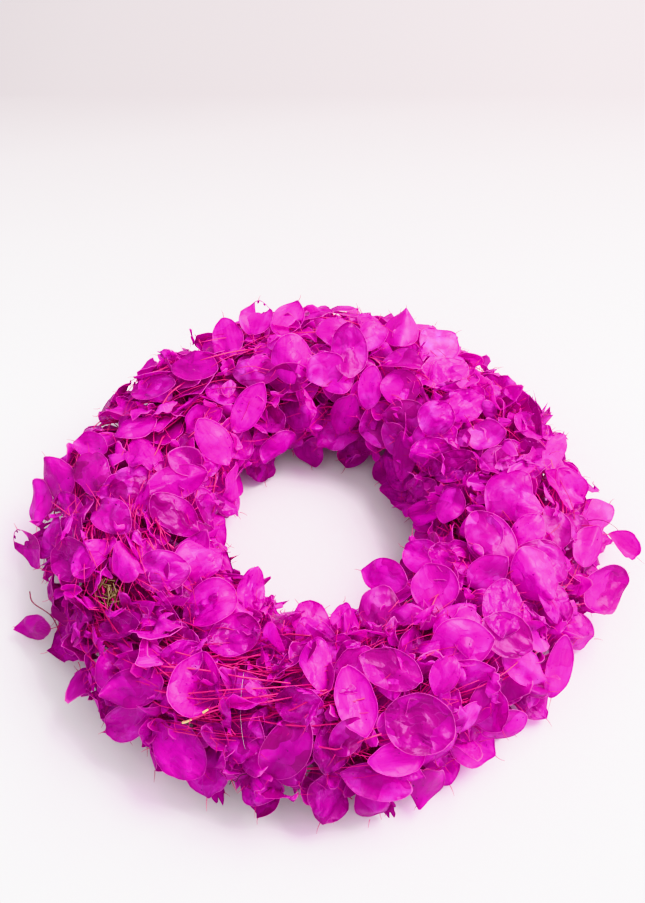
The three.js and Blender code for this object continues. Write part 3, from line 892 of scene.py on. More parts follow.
def spoiled(low, high, first, last):
    """Which cells stay in a septum with a hole that has a jagged edge."""
    def kept(ring, angle):
        return not (low <= ring <= high - (angle % 3 == 0) and first <= angle <= last)
    return kept


def above_floor(parts):
    """The parts, with points near or below the floor pressed up to lie just over it."""
    for part in parts:
        drop = np.maximum(0, PRESSED - part["points"][:, 2])
        part["points"][:, 2] += drop - drop / (1 + drop / (PRESSED - FLAT))
    return parts


def columns(septa, looks):
    """Every number of the septa and of their looks by its name, as a column."""
    found = {key: [getattr(s, key) for s in septa] for key in ("length", "width", "cup", "bend")}
    for key in looks[0]:
        found[key] = [look[key] for look in looks]
    return {key: np.array(values, float)[:, None] for key, values in found.items()}


def curled(of, x, y):
    """How far its cup, its twist, a rolled side and a hooked tip lift a septum."""
    off = of["cup"] * (1 - x * x - y * y) + of["twist"] * x * y
    off = off + of["roll"] * np.maximum(of["hand"] * x - 0.1, 0) ** 2
    return off + of["hook"] * np.maximum(y - 0.45, 0) ** 2 * 3


def waved(of, x, y):
    """How far low waves lift it."""
    off = 0
    for i in range(WAVES):
        run = x * of["width"] * of[f"across_{i}"] + y * of["length"] * of[f"along_{i}"]
        off = off + of[f"depth_{i}"] * np.sin(of[f"phase_{i}"] + run / 2)
    return off


def faceted(of, x, y):
    """How far flat faces lift it, each with a lean of its own round a spot of its own."""
    total, weights = 0, 0
    for i in range(FACETS):
        over, up = x - of[f"spot_x_{i}"], y - of[f"spot_y_{i}"]
        weight = (over * over + up * up + 0.01) ** -4.0
        lean = of[f"lean_x_{i}"] * over * of["width"] + of[f"lean_y_{i}"] * up * of["length"]
        total = total + weight * lean / 2
        weights = weights + weight
    return total / weights


def creased(of, x, y, turn):
    """How far straight creases, a keel along its middle and a ruffled rim lift it."""
    off = 0
    for i in range(CREASES):
        way = of[f"crease_{i}"]
        beside = x * np.cos(way) + y * np.sin(way) - of[f"aside_{i}"]
        off = off + of[f"fold_{i}"] * (np.hypot(beside, of[f"soft_{i}"]) - 0.5)
    off = off + of["keel"] * (np.hypot(x, 0.07) - 0.4)
    return off + of["ruffle"] * (x * x + y * y) ** 2 * np.sin(of["ruffles"] * turn + of["phase_0"])


def shaped(septa, looks, x, y, thick):
    """The upper and lower points of septa, as arrays of septa by places on the disc."""
    of = columns(septa, looks)
    turn = np.arctan2(x, -y)
    jag = np.sin(5 * turn + of["phase_1"]) + np.sin(8 * turn + of["phase_2"])
    edge = 1 - of["ragged"] * (x * x + y * y) * np.maximum(0, jag)
    x, y = x * edge, y * edge
    share, half = oval(x, y)
    head, foot = np.maximum(y, 0) ** 4, np.maximum(-y, 0) ** 4
    half = half * (1 - of["tip"] * head) * (1 - of["foot"] * foot) * (1 + of["skew"] * y * np.sign(x))
    loose = np.minimum(1, 1.5 * share)
    off = curled(of, x, y) + (waved(of, x, y) + faceted(of, x, y)) * loose + creased(of, x, y, turn)
    bend = of["bend"] + np.where(np.abs(of["bend"]) < LEAST_BEND, LEAST_BEND, 0.0)
    curve = 2 * bend / of["length"] ** 2
    return bent_sheet(septa, of["length"] * share, half * of["width"] / 2, off, curve, thick)


def bent_sheet(septa, along, aside, off, curve, thick):
    """The upper and lower points of sheets that are bent along their length as arcs."""
    root, axis, side, face = (
        np.stack([getattr(s, key) for s in septa])[:, None] for key in ("root", "axis", "side", "face")
    )
    angle = curve * along
    run, lift = np.sin(angle) / curve, (1 - np.cos(angle)) / curve
    out = face * np.cos(angle)[..., None] - axis * np.sin(angle)[..., None]
    middle = root + axis * run[..., None] + face * lift[..., None] + side * aside[..., None]
    return middle + out * (off + thick)[..., None], middle + out * (off - thick)[..., None]


# How much more these kinds curl than the others.
CURLS = {"fill": 1.5, "scrap": 1.3, "shred": 1.8, "tatter": 1.5}


def look_of(septum, messy, rng):
    """What makes a septum unlike the next: its outline, its curl, its crinkles and its colour."""
    curl = CURLS.get(septum.kind, 1.0) * messy
    crushed = (0.3 + 0.7 * rng.random() ** 1.5) * messy * (0.65 if septum.kind == "marked" else 1)
    look = {
        "tip": rng.uniform(0.2, 0.75),
        "foot": rng.uniform(0.15, 0.6),
        "skew": rng.uniform(-0.12, 0.12),
        "twist": rng.uniform(-2.5, 2.5) * curl,
        "roll": rng.choice((0, 0, 1, 1.6)) * rng.uniform(1.5, 5) * rng.choice((-1, 1)),
        "hand": rng.choice((-1, 1)),
        "hook": rng.uniform(-3, 3) * curl,
        "tint": rng.random(),
        "pale": rng.random() ** 1.2,
        "crushed": crushed,
        "keel": rng.choice((0, 0, 1)) * rng.choice((-1, 1)) * rng.uniform(2, 7) * messy,
        "ragged": rng.choice((0, 0.3, 1)) * rng.uniform(0.03, 0.09),
        "seed": rng.uniform(0, 900),
    }
    if septum.kind == "marked":
        look["ragged"] *= 0.4
        look["roll"] *= 0.5
    if septum.kind in ("shred", "tatter"):
        look["ragged"] = rng.uniform(0.2, 0.4)
    for key in ("pale", "hook"):
        if getattr(septum, key) is not None:
            look[key] = getattr(septum, key)
    return look | crinkles(curl, crushed, rng)


def crinkles(curl, crushed, rng):
    """The waves, flat faces and creases of a septum and the ruffles of its rim."""
    found = {}
    for i in range(WAVES):
        size = rng.uniform(9, 26)
        way = rng.uniform(0, math.pi)
        found[f"across_{i}"] = 2 * math.pi / size * math.cos(way)
        found[f"along_{i}"] = 2 * math.pi / size * math.sin(way)
        found[f"phase_{i}"] = rng.uniform(0, 2 * math.pi)
        found[f"depth_{i}"] = size * rng.uniform(0.008, 0.03)
    for i in range(FACETS):
        for key in ("spot_x", "spot_y"):
            found[f"{key}_{i}"] = rng.uniform(-1, 1)
        for key in ("lean_x", "lean_y"):
            found[f"{key}_{i}"] = rng.uniform(-0.5, 0.5) * crushed
    for i in range(CREASES):
        found[f"crease_{i}"] = rng.uniform(0, math.pi)
        found[f"aside_{i}"] = rng.uniform(-0.6, 0.6)
        found[f"fold_{i}"] = rng.choice((-1, 1)) * rng.uniform(0, 4.2) * curl
        found[f"soft_{i}"] = rng.uniform(0.03, 0.12)
    found["ruffle"] = rng.uniform(0, 1.3) * curl
    found["ruffles"] = rng.choice((2, 3, 4, 5))
    return found


def outer_share(points, clock):
    """At how full a size of a bunch points lie, 0 deep inside and 1 outside; the septa's painted shade
    is taken from it.
    """
    bunch = BUNCHES[bunch_at(clock)]
    across = np.hypot(points[:, 0], points[:, 1]) - RING_RADIUS
    rise = points[:, 2] - AXIS_HEIGHT
    x = across / np.where(across > 0, bunch.out, bunch.inner)
    y = rise / np.where(rise > 0, bunch.top - AXIS_HEIGHT, AXIS_HEIGHT)
    return np.clip((np.hypot(x, y) - INSIDE) / (1 - INSIDE), 0, 1)


def septa_part(septa, looks, disc, clock, kept=whole):
    """One part of many septa of the same disc."""
    angles, rings = disc
    x, y, thick, rim = disc_points(angles, rings)
    points = np.concatenate(shaped(septa, looks, x, y, thick), 1)
    count = points.shape[1]
    shift = np.arange(len(septa))[:, None, None] * count
    faces = [(f + shift).reshape(-1, f.shape[1]) for f in disc_faces(angles, rings, kept)]
    points = turned(points.reshape(-1, 3), clock)
    size = np.array([(s.width / 2, s.length / 2) for s in septa])
    seeds = np.repeat([look["seed"] for look in looks], count).reshape(-1, count)
    grain = [size[:, :1] * np.tile(x, 2), size[:, 1:] * np.tile(y, 2), seeds]
    marks = {key: np.repeat([look[key] for look in looks], count) for key in ("tint", "pale", "crushed")}
    marks["grain"] = np.stack(grain, -1).reshape(-1, 3)
    # How deep each point lies, from which the painted shade deep inside the bunch is taken.
    marks["outer"] = outer_share(points, clock)
    marks["rim"] = np.tile(rim, 2 * len(septa))
    return {"points": points, "faces": faces, "marks": marks}


def heart_part(n, rng):
    """The crumpled inside of a bunch, where folded septa lie too close to tell apart."""
    bunch, ahead = BUNCHES[n], BUNCHES[next_to(n)[1]]
    low, high = (math.degrees(one.half_gap / RING_RADIUS) for one in (bunch, ahead))
    outside = np.linspace(CORE_LOWEST, 180 - CORE_LOWEST, HEART_OUTSIDE)
    inside = np.linspace(180, 0, HEART_INSIDE)
    rows = []
    for along in np.linspace(PITCH / 2 - high, low - PITCH / 2, HEART_ROWS):
        rough = np.array([rng.uniform(-HEART_ROUGH, HEART_ROUGH) for _ in outside])
        crust = place_on(bunch, along, outside, core_share(along) - HEART_SUNK + rough)
        rows.append(np.concatenate([crust, hay_point(along, inside, CORE_TUNNEL)]))
    points = np.concatenate(rows)
    grid = np.arange(len(points)).reshape(HEART_ROWS, -1)
    beside = np.roll(grid, -1, 1)
    quads = np.stack([beside[:-1], beside[1:], grid[1:], grid[:-1]], -1).reshape(-1, 4)
    # An outer of 0 gives the heart the full painted shade of the deep inside.
    marks = dict.fromkeys(("tint", "pale", "outer", "rim"), np.zeros(len(points)))
    marks |= {"grain": points, "crushed": np.ones(len(points))}
    faces = [quads, grid[:1, ::-1], grid[-1:]]
    return {"points": turned(points, clock_of(n)), "faces": faces, "marks": marks}


def tubes(paths, radii, sides, tints):
    """Closed tubes of one number of points each: paths is tubes by points by 3."""
    paths, radii = np.asarray(paths, float), np.asarray(radii, float)
    count, steps, _ = paths.shape
    ways = np.gradient(paths, axis=1)
    ways /= np.linalg.norm(ways, axis=2, keepdims=True)
    helper = np.where(np.abs(ways[:, :1, 2:]) < 0.8, UP, np.array([1.0, 0.0, 0.0]))[:, 0]
    normal = np.cross(ways[:, 0], helper)
    turn = circle(sides)[:, None]
    rows = []
    for i in range(steps):
        way = ways[:, i]
        normal = normal - way * dot(normal, way)[:, None]
        normal /= np.linalg.norm(normal, axis=1, keepdims=True)
        ring = np.cos(turn) * normal[:, None] + np.sin(turn) * np.cross(way, normal)[:, None]
        rows.append(paths[:, i, None] + ring * radii[:, i, None, None])
    grid = np.arange(count * steps * sides).reshape(count, steps, sides)
    beside = np.roll(grid, -1, 2)
    quads = np.stack([grid[:, :-1], beside[:, :-1], beside[:, 1:], grid[:, 1:]], -1).reshape(-1, 4)
    return {
        "points": np.stack(rows, 1).reshape(-1, 3),
        "faces": [quads, grid[:, 0, ::-1], grid[:, -1]],
        "marks": {"tint": np.repeat(tints, steps * sides)},
    }


def random_tints(rng, paths):
    return np.array([rng.random() for _ in paths])


# Stalks and stems

# How many points a stalk and a whisker have, and how far a stalk leaves the straight line.
STALK_POINTS, WHISKER_POINTS, STALK_SAG = 6, 4, 2.5
# Where a stalk without a place in the solids starts: how deep in the core, as a share, how many
# degrees above its lower edges, and the place round the tube for a foot low on the inner side.
STALK_DEEP, STALK_ABOVE, STALK_UNDER = 0.12, 8, 190


def eased(start, end, lift, steps):
    """A path from start to end that leaves the straight line by lift in its middle."""
    t = np.linspace(0, 1, steps)[:, None]
    return start + (end - start) * t + lift * (4 * t * (1 - t))


def stalk_path(bunch, septum, rng):
    """The stalk of a septum, from inside its bunch to its foot."""
    foot = septum_point(septum, 0.0, -0.97, 0.0)
    if septum.stalk is not None:
        start = septum.stalk[0]
    else:
        along = max(-PITCH / 2, min(PITCH / 2, clock_at(foot) + rng.uniform(-3, 1)))
        across = math.hypot(foot[0], foot[1]) - RING_RADIUS
        around = math.degrees(math.atan2(foot[2] - AXIS_HEIGHT, across))
        around = on_core(around, STALK_ABOVE) if around > -90 else STALK_UNDER
        start = place_on(bunch, along, around, core_share(along) - STALK_DEEP)
    lift = septum.axis * -STALK_SAG + septum.face * rng.uniform(-2, 2)
    return eased(start, foot, lift, STALK_POINTS)


def whisker_path(septum, rng):
    """The style at a septum's tip."""
    angle = 2 * septum.bend / septum.length
    way = septum.axis * math.cos(angle) + septum.face * math.sin(angle)
    tip = septum_point(septum, 0.0, 1.0, 0.0)
    size = rng.uniform(3.5, 7.5)
    lift = septum.side * rng.uniform(-0.8, 0.8) + septum.face * rng.uniform(-0.8, 0.8)
    return eased(tip - way * 0.8, tip + way * size, lift, WHISKER_POINTS)


def strand(points, steps, rng, wander):
    """A smooth stem through points, with small bends of its own."""
    path = smooth_curve(points, steps)
    t = np.linspace(0, 1, steps + 1)
    for size in (1, 2):
        way = np.array([rng.uniform(-1, 1) for _ in range(3)])
        phase = rng.uniform(0, 2 * math.pi)
        path = path + np.outer(np.sin(2 * math.pi * size * t + phase), way) * wander / size
    return path


# How many stems a bunch's sheaf has, how many come up through the bunch, and how many follow its
# stray ones.
SHEAF_STRANDS, SURFACE_STRANDS, GAP_STRANDS = 22, 22, 20
STRAND_STEPS, LOOSE_STEPS = 9, 16
STRAND_SIDES, LOOSE_SIDES, STALK_SIDES = 5, 6, 4
# The radii of a stalk and of a whisker, at its start and at its end.
STALK_RADII, WHISKER_RADII = (0.34, 0.24), (0.22, 0.07)
# The dark stem that arches over the edge at the right, and the kinked tendril at the front.
ARCH = (
    (357.0, 26, 0.6), (357.3, 30, 0.83), (358.9, 32.5, 0.98), (359.0, 30, 1.14),
    (357.9, 24.5, 1.24), (357.0, 21, 1.27),
)
TENDRIL = (
    (259.6, 30, 0.85), (258.5, 29, 1.0), (256.2, 25, 1.02), (254.4, 22, 1.04),
    (253.8, 17, 1.07), (253.0, 16, 1.05), (252.7, 13, 1.08),
)
# Stems that stand out in the photograph, each with its places, its radius and its tint: over 1 it
# turns to cream, as on an undyed cut end, and under 0 it turns dark.
LOOSE = [
    (ARCH, 0.33, -0.7),
    (((192, -4, 1.25), (195, 2, 1.22), (198.5, -4, 1.06), (202.7, -21, 1.1)), 0.4, -0.4),
    (((240, 42.7, 1.01), (240.8, 45, 1.02), (241.6, 48, 1.02)), 0.85, 2.0),
    (((241.4, 47, 1.01), (246, 60, 1.0), (256, 73, 1.0), (272, 84, 0.93)), 0.6, 0.9),
    (((243.4, 55.3, 1.02), (243.8, 57, 1.03), (244.2, 58.5, 1.02)), 0.75, 1.9),
    (((244.1, 58, 1.01), (249, 69, 1.0), (259, 80, 0.98), (268, 86, 0.9)), 0.5, 0.8),
    (((229, 66, 0.97), (238, 78, 1.01), (249, 84, 1.01), (262, 88, 0.97)), 0.6, 1.0),
    (((226, 74, 0.97), (236, 83, 1.0), (248, 88, 1.0), (258, 90, 0.95)), 0.45, 0.7),
    (((236, 58, 0.96), (246, 73, 1.01), (256, 82, 1.01), (270, 88, 0.93)), 0.5, 0.9),
    (((231, 52, 0.97), (240, 60, 1.01), (250, 72, 1.0), (262, 80, 0.95)), 0.4, 0.6),
    (TENDRIL, 0.3, -1.0),
    (((259, -24, 0.95), (259.4, -34, 1.03), (258.6, -40, 1.2)), 0.4, -0.2),
    (((248.6, -30, 1.0), (249, -37, 1.15), (250.7, -40, 1.32)), 0.4, 0.1),
    (((272.5, -30, 0.95), (274.3, -38, 1.07), (276.7, -42, 1.24)), 0.35, 0.1),
    (((281, -30, 0.95), (280.5, -38, 1.1), (279.4, -42, 1.25)), 0.35, 0.2),
]
# How far the stems of a gap drift from the stray stem they follow, at each of its points.
GAP_DRIFT = (0.5, 0.8, 1.0, 1.8, 2.6, 4.0)


def sheaf_strands(n, rng):
    """Thin stems of the sheaf that is tied at a bunch's back end."""
    back = -PITCH / 2
    bunch = BUNCHES[n]
    found = []
    for _ in range(SHEAF_STRANDS):
        k = rng.uniform(-1, 1)
        low = STEM_LOW - 1.2 + rng.uniform(0, 3.0)
        around = 90 + 9 * k
        ahead = rng.uniform(-2, 9)
        points = [
            hay_point(back - rng.uniform(5, 9), 90 + 20 * k, low + 1.5),
            hay_point(back, around, low),
            hay_point(back + 5, 90 + 22 * k, low + 1.5),
            place_on(bunch, ahead, 90 + 60 * k, rng.uniform(0.5, 0.7)),
        ]
        found.append((strand(points, STRAND_STEPS, rng, 0.4), rng.uniform(0.3, 0.6)))
    return found


def slanting(bunch, along, around, run, drift, stages):
    """Places on a bunch that go forward by run and round the tube by drift, at stages that each
    have a share of the way and a share of the bunch's size."""
    return [place_on(bunch, along + run * t, around + drift * t, share) for t, share in stages]


def surface_strands(n, rng):
    """Stems that come up through a bunch and lie along it among the septa."""
    found = []
    for _ in range(SURFACE_STRANDS):
        around = rng.triangular(-10, 190, 90)
        along = rng.uniform(-0.6, 0.1) * PITCH
        run, drift = rng.uniform(10, 26), rng.uniform(-40, 40)
        high = rng.uniform(0.84, 0.99)
        shares = (core_share(0) - 0.08, 0.5 * (0.7 + high), high, high + rng.uniform(-0.06, 0.04))
        points = slanting(BUNCHES[n], along, around, run, drift, zip((0, 0.25, 0.65, 1), shares))
        found.append((strand(points, STRAND_STEPS, rng, 1.2), rng.uniform(0.2, 0.42)))
    return found


def ring_strands(n, rng):
    """Long stems on the outside that run along the ring, from the bunch behind to this one."""
    one = BUNCHES[n]
    both = larger_of(one, BUNCHES[n - 1])
    spots = one.strays or (30, 150)
    found = []
    for _ in range(one.along):
        around = rng.uniform(min(spots) - 16, max(spots) + 16) - one.slant / 2
        start, end = -PITCH / 2 - rng.uniform(6, 19), -PITCH / 2 + rng.uniform(4, 19)
        high, drift = rng.uniform(0.8, 0.97), one.slant + rng.uniform(-16, 16)
        shares = (0.6, high - 0.06, high, rng.uniform(0.78, 1.0))
        points = slanting(both, start, around, end - start, drift, zip((0, 0.25, 0.6, 1), shares))
        found.append((strand(points, STRAND_STEPS, rng, 2.0), rng.choice((0.25, 0.35, 0.45, 0.75))))
    return found


def gap_strands(n, rng):
    """The dense stems of a gap between two bunches: several follow each stray stem of the solids."""
    curves = stray_curves(n)
    found = []
    for i in range(GAP_STRANDS if curves else 0):
        points = curves[i % len(curves)].copy()
        drift = np.array([[rng.gauss(0, 1) for _ in range(3)] for _ in points])
        points += drift * np.array(GAP_DRIFT)[:, None]
        onward = (points[-1] - points[-2]) * np.array([1, 1, 0])
        end = points[-1] + onward * rng.uniform(0.1, 0.8) - UP * rng.uniform(1, 6)
        path = strand(np.vstack([points, end]), STRAND_STEPS, rng, 0.6)
        found.append((path, rng.uniform(0.25, 0.6)))
    return found


def loose_part(strands):
    """One part of stems that are given by places on the wreath: clock angle, place round the tube
    and share of the bunch's size."""
    paths = []
    for places, _, _ in strands:
        points = [place_on(BUNCHES[bunch_at(place[0])], *place) for place in places]
        paths.append(smooth_curve(points, LOOSE_STEPS))
    taper = np.linspace(1, 0.7, LOOSE_STEPS + 1)
    radii = np.array([radius for _, radius, _ in strands])[:, None] * taper
    return tubes(paths, radii, LOOSE_SIDES, np.array([tint for _, _, tint in strands]))


def strands_part(strands, rng, clock):
    """One part of many stems, each thinner towards its end."""
    paths = turned(np.stack([path for path, _ in strands]), clock)
    taper = np.linspace(1, 0.5, paths.shape[1])
    radii = np.array([radius for _, radius in strands])[:, None] * taper
    return tubes(paths, radii, STRAND_SIDES, random_tints(rng, strands))


# Hay and thread

# The ring's points along it and round it, and how far its fibres lie under the smooth hay.
HAY_STATIONS, HAY_AROUND, HAY_SUNK = 336, 48, 0.7
# The loose blades along the ring and those that show at the left, and the points and sides of one.
WISPS, TUFT, BLADE_POINTS, BLADE_SIDES = 900, 90, 5, 3
WISP_LOWEST = 0.7
THREAD_STEPS, THREAD_SIDES = 40, 6
# Where the thread lies over the stems of a bunch, with its radius and its tint.
THREAD_PLACES = (247, 100, 0.6), (248.7, 86, 0.98), (251.5, 63, 1.01), (254.6, 41, 1.0), (256, 22, 0.7)
LOOSE_THREAD = (THREAD_PLACES, 0.13, 0)
# The clock angle that the hay and the thread are made from.
BASE_CLOCK = FIRST_CLOCK - PITCH / 2 - PITCH / 4


def hay_distance(clock, around):
    """How far from the hay's centre line its surface lies, with the groove that winds with the
    thread."""
    phase = (clock / PITCH - around / 360) % 1
    near = np.minimum(phase, 1 - phase)
    depth = np.clip(1 - near * 3, 0, 1)
    return HAY_RADIUS - (HAY_RADIUS - HAY_GROOVE) * depth


def from_base(part):
    """A part that is made from clock angle 0, turned to where the hay and the thread start."""
    part["points"] = turned(part["points"], BASE_CLOCK)
    return part


def hay_part(rng):
    """The hay ring, fibrous, flat underneath."""
    grid = np.arange(HAY_STATIONS * HAY_AROUND).reshape(HAY_STATIONS, HAY_AROUND)
    clock = np.arange(HAY_STATIONS)[:, None] * 360 / HAY_STATIONS
    around = np.arange(HAY_AROUND) * 360 / HAY_AROUND
    ridges = np.array([rng.uniform(-0.5, 0.5) for _ in around])
    rough = np.array([rng.uniform(-0.35, 0.35) for _ in range(grid.size)]).reshape(grid.shape)
    points = hay_point(clock, around, hay_distance(clock, around) - HAY_SUNK + ridges + rough)
    points[..., 2] = np.maximum(points[..., 2], 0)
    on, up = np.roll(grid, -1, 0), np.roll(grid, -1, 1)
    quads = np.stack([grid, on, np.roll(on, -1, 1), up], -1).reshape(-1, 4)
    marks = {"tint": np.zeros(grid.size)}
    return from_base({"points": points.reshape(-1, 3), "faces": [quads], "marks": marks})


def wisps_part(rng):
    """Loose blades of hay that lie along the ring."""
    paths, radii = [], []
    t = np.linspace(0, 1, BLADE_POINTS)
    for _ in range(WISPS):
        clock, around = rng.uniform(0, 360), rng.uniform(-40, 220)
        run, drift = rng.uniform(6, 15), rng.uniform(-25, 25)
        clocks, arounds = clock + run * t, around + drift * t
        distance = hay_distance(clocks, arounds) + rng.uniform(-0.6, 0.2)
        path = hay_point(clocks, arounds, distance + rng.uniform(0, 1.4) * (2 * t - 1) ** 2)
        path[:, 2] = np.maximum(path[:, 2], WISP_LOWEST)
        paths.append(path)
        radii.append(np.full(BLADE_POINTS, rng.uniform(0.2, 0.5)))
    return from_base(tubes(paths, radii, BLADE_SIDES, random_tints(rng, paths)))


def tuft_part(rng):
    """Blades of hay that show between the stems at the left."""
    paths, radii = [], []
    t = np.linspace(-0.5, 0.5, BLADE_POINTS)
    for _ in range(TUFT):
        clock, around = rng.gauss(GLIMPSE[0], 2), rng.gauss(GLIMPSE[1], 4)
        share = rng.uniform(0.72, 0.95)
        run, drift = rng.uniform(-3, 3), rng.uniform(-9, 9)
        paths.append(place_on(BUNCHES[bunch_at(clock)], clock + run * t, around + drift * t, share))
        radii.append(np.full(BLADE_POINTS, rng.uniform(0.2, 0.55)))
    return tubes(paths, radii, BLADE_SIDES, random_tints(rng, paths))


def thread_part():
    """The clear binding thread: in the groove of the hay, and over each sheaf where it is tied."""
    turns = len(BUNCHES)
    turn = THREAD_ENDS + np.linspace(0, 1, turns * THREAD_STEPS + 1) * (turns - 2 * THREAD_ENDS)
    lift = np.maximum(0, np.sin(2 * math.pi * turn))
    path = hay_point(turn * PITCH, 360 * turn, THREAD_LOW + (THREAD_HIGH - THREAD_LOW) * lift)
    radii = np.full((1, len(path)), THREAD_RADIUS)
    return from_base(tubes(path[None], radii, THREAD_SIDES, np.zeros(1)))


# Materials

def srgb(r, g, b):
    """A colour from the values it has on a screen, 0 to 255."""
    values = [((v / 255 + 0.055) / 1.055) ** 2.4 if v > 10 else v / 255 / 12.92 for v in (r, g, b)]
    return (*values, 1.0)


def set_inputs(node, inputs):
    """Fills inputs of a node, with values or with links from the sockets that are given."""
    for key, value in inputs.items():
        if isinstance(value, bpy.types.NodeSocket):
            node.id_data.links.new(value, node.inputs[key])
        else:
            node.inputs[key].default_value = value


def add(tree, kind, inputs, **settings):
    """A new node with its settings and its inputs."""
    node = tree.nodes.new("ShaderNode" + kind)
    for key, value in settings.items():
        setattr(node, key, value)
    set_inputs(node, inputs)
    return node


def blend(tree, share, a, b):
    return add(tree, "Mix", {0: share, 6: a, 7: b}, data_type="RGBA").outputs[2]


def layered(tree, colour, layers):
    """A colour with others laid over it one by one, each by its share."""
    for share, tone in layers:
        colour = blend(tree, share, colour, tone)
    return colour


def noise(tree, vector, scale, detail):
    return add(tree, "TexNoise", {"Vector": vector, "Scale": scale, "Detail": detail})


def between(tree, value, low, high):
    """How far a value is from low to high, 0 to 1."""
    return add(tree, "MapRange", {"Value": value, "From Min": low, "From Max": high}).outputs[0]


def times(tree, first, *others):
    """The product of values and sockets."""
    for other in others:
        first = add(tree, "Math", {0: first, 1: other}, operation="MULTIPLY").outputs[0]
    return first


def plus(tree, first, *others):
    """The sum of values and sockets."""
    for other in others:
        first = add(tree, "Math", {0: first, 1: other}, operation="ADD").outputs[0]
    return first


def stretched(tree, vector, scale):
    """Places stretched along each axis."""
    return add(tree, "VectorMath", {0: vector, 1: scale}, operation="MULTIPLY").outputs[0]


def crumple(tree, vector, scale):
    """Sharp creases with rounded swells between them."""
    swell = noise(tree, vector, scale, 2.5).outputs[0]
    off = add(tree, "Math", {0: swell, 1: 0.5}, operation="SUBTRACT").outputs[0]
    return add(tree, "Math", {0: off}, operation="ABSOLUTE").outputs[0]


def warped(tree, vector):
    """Places pushed about by a smooth noise, so that lines drawn from them run in curves."""
    push = {0: noise(tree, vector, 0.1, 1.0).outputs["Color"], 1: (12, 12, 0), 2: vector}
    return add(tree, "VectorMath", push, operation="MULTIPLY_ADD").outputs[0]


def facets(tree, vector, scale):
    """Flat faces with sharp creases between them: their height, as each leans its own way, and a
    random number for each."""
    cells = add(tree, "TexVoronoi", {"Vector": vector, "Scale": scale})
    ends = {0: vector, 1: cells.outputs["Position"]}
    off = add(tree, "VectorMath", ends, operation="SUBTRACT").outputs[0]
    spread = {0: cells.outputs["Color"], 1: (1, 1, 0), 2: (-0.5, -0.5, 0)}
    lean = add(tree, "VectorMath", spread, operation="MULTIPLY_ADD").outputs[0]
    height = add(tree, "VectorMath", {0: off, 1: lean}, operation="DOT_PRODUCT").outputs["Value"]
    return height, add(tree, "SeparateXYZ", {"Vector": cells.outputs["Color"]}).outputs["Z"]


def crease_highlight_lines(tree, vector, scale):
    """Thin lines where the flat faces meet, 1 on a line, where highlights are painted along the creases.
    """
    cells = add(tree, "TexVoronoi", {"Vector": vector, "Scale": scale}, feature="DISTANCE_TO_EDGE")
    return between(tree, cells.outputs["Distance"], 0.06, 0)


def mark(tree, name, output="Fac"):
    return add(tree, "Attribute", {}, attribute_name=name).outputs[output]


def new_material(name):
    material = bpy.data.materials.new(name)
    material.use_nodes = True
    return material, material.node_tree, material.node_tree.nodes["Principled BSDF"]


# The sizes of a septum's folded faces, as scales of their patterns, how the small ones are stretched
# along it, and how the streaks of its dye are.
LARGE_FACES, SMALL_FACES = 0.065, 0.23
FOLD_STRETCH, STREAK_STRETCH = (1.3, 0.5, 1), (1.2, 0.16, 1)


def septa_colour(tree, grain, folds, large_number, small_number):
    """The dye of septa, from one tint to another, and what lies over it, with painted shade and painted
    highlights among it.
    """
    streaks = noise(tree, stretched(tree, grain, STREAK_STRETCH), 0.6, 4.0).outputs[0]
    # Pale film, with painted sheen in patches face by face.
    film_and_sheen = between(tree, noise(tree, grain, 0.15, 3.0).outputs[0], 0.4, 0.66)
    sheen_patch = between(tree, plus(tree, large_number, times(tree, small_number, 0.6)), 0.3, 1.7)
    # Where painted highlights lie along the creases.
    lines = crease_highlight_lines(tree, folds, SMALL_FACES)
    specks = noise(tree, grain, 0.55, 1.0).outputs[0]
    layers = (
        # Streaks along the septum, and painted highlights: faces painted brighter than others, as if
        # they catch the light.
        (times(tree, between(tree, streaks, 0.35, 0.65), 0.4), srgb(186, 0, 150)),
        (times(tree, large_number, 0.5), srgb(248, 3, 228)),
        # Painted shade: darker deep inside the bunch, where less light reaches.
        (between(tree, mark(tree, "outer"), 0.7, 0.0), srgb(150, 0, 96)),
        # Pale film in patches, partly the paler film itself and partly painted sheen on faces that seem
        # to catch the light; painted highlights along the creases in it; and dark specks.
        (times(tree, film_and_sheen, sheen_patch, mark(tree, "pale")), srgb(245, 122, 246)),
        (times(tree, lines, film_and_sheen, mark(tree, "crushed"), 0.55), srgb(252, 116, 240)),
        (between(tree, specks, 0.74, 0.8), srgb(96, 4, 70)),
        # A line of painted shade inside the rim, and the rim, paler: partly its own colour, partly
        # painted highlight on its edge.
        (times(tree, between(tree, mark(tree, "rim"), 0, -1), 0.35), srgb(150, 0, 110)),
        (times(tree, between(tree, mark(tree, "rim"), 0, 1), 0.7), srgb(252, 124, 222)),
    )
    return layered(tree, blend(tree, mark(tree, "tint"), srgb(168, 0, 122), srgb(244, 2, 218)), layers)


def tinted_shadow(tree, surface):
    """A surface whose shadow is tinted, as the light is that passes through dyed paper."""
    tint = add(tree, "BsdfTransparent", {"Color": (0.6, 0.22, 0.58, 1)}).outputs[0]
    lamp = add(tree, "LightPath", {}).outputs["Is Shadow Ray"]
    return add(tree, "MixShader", {0: lamp, 1: surface, 2: tint}).outputs[0]


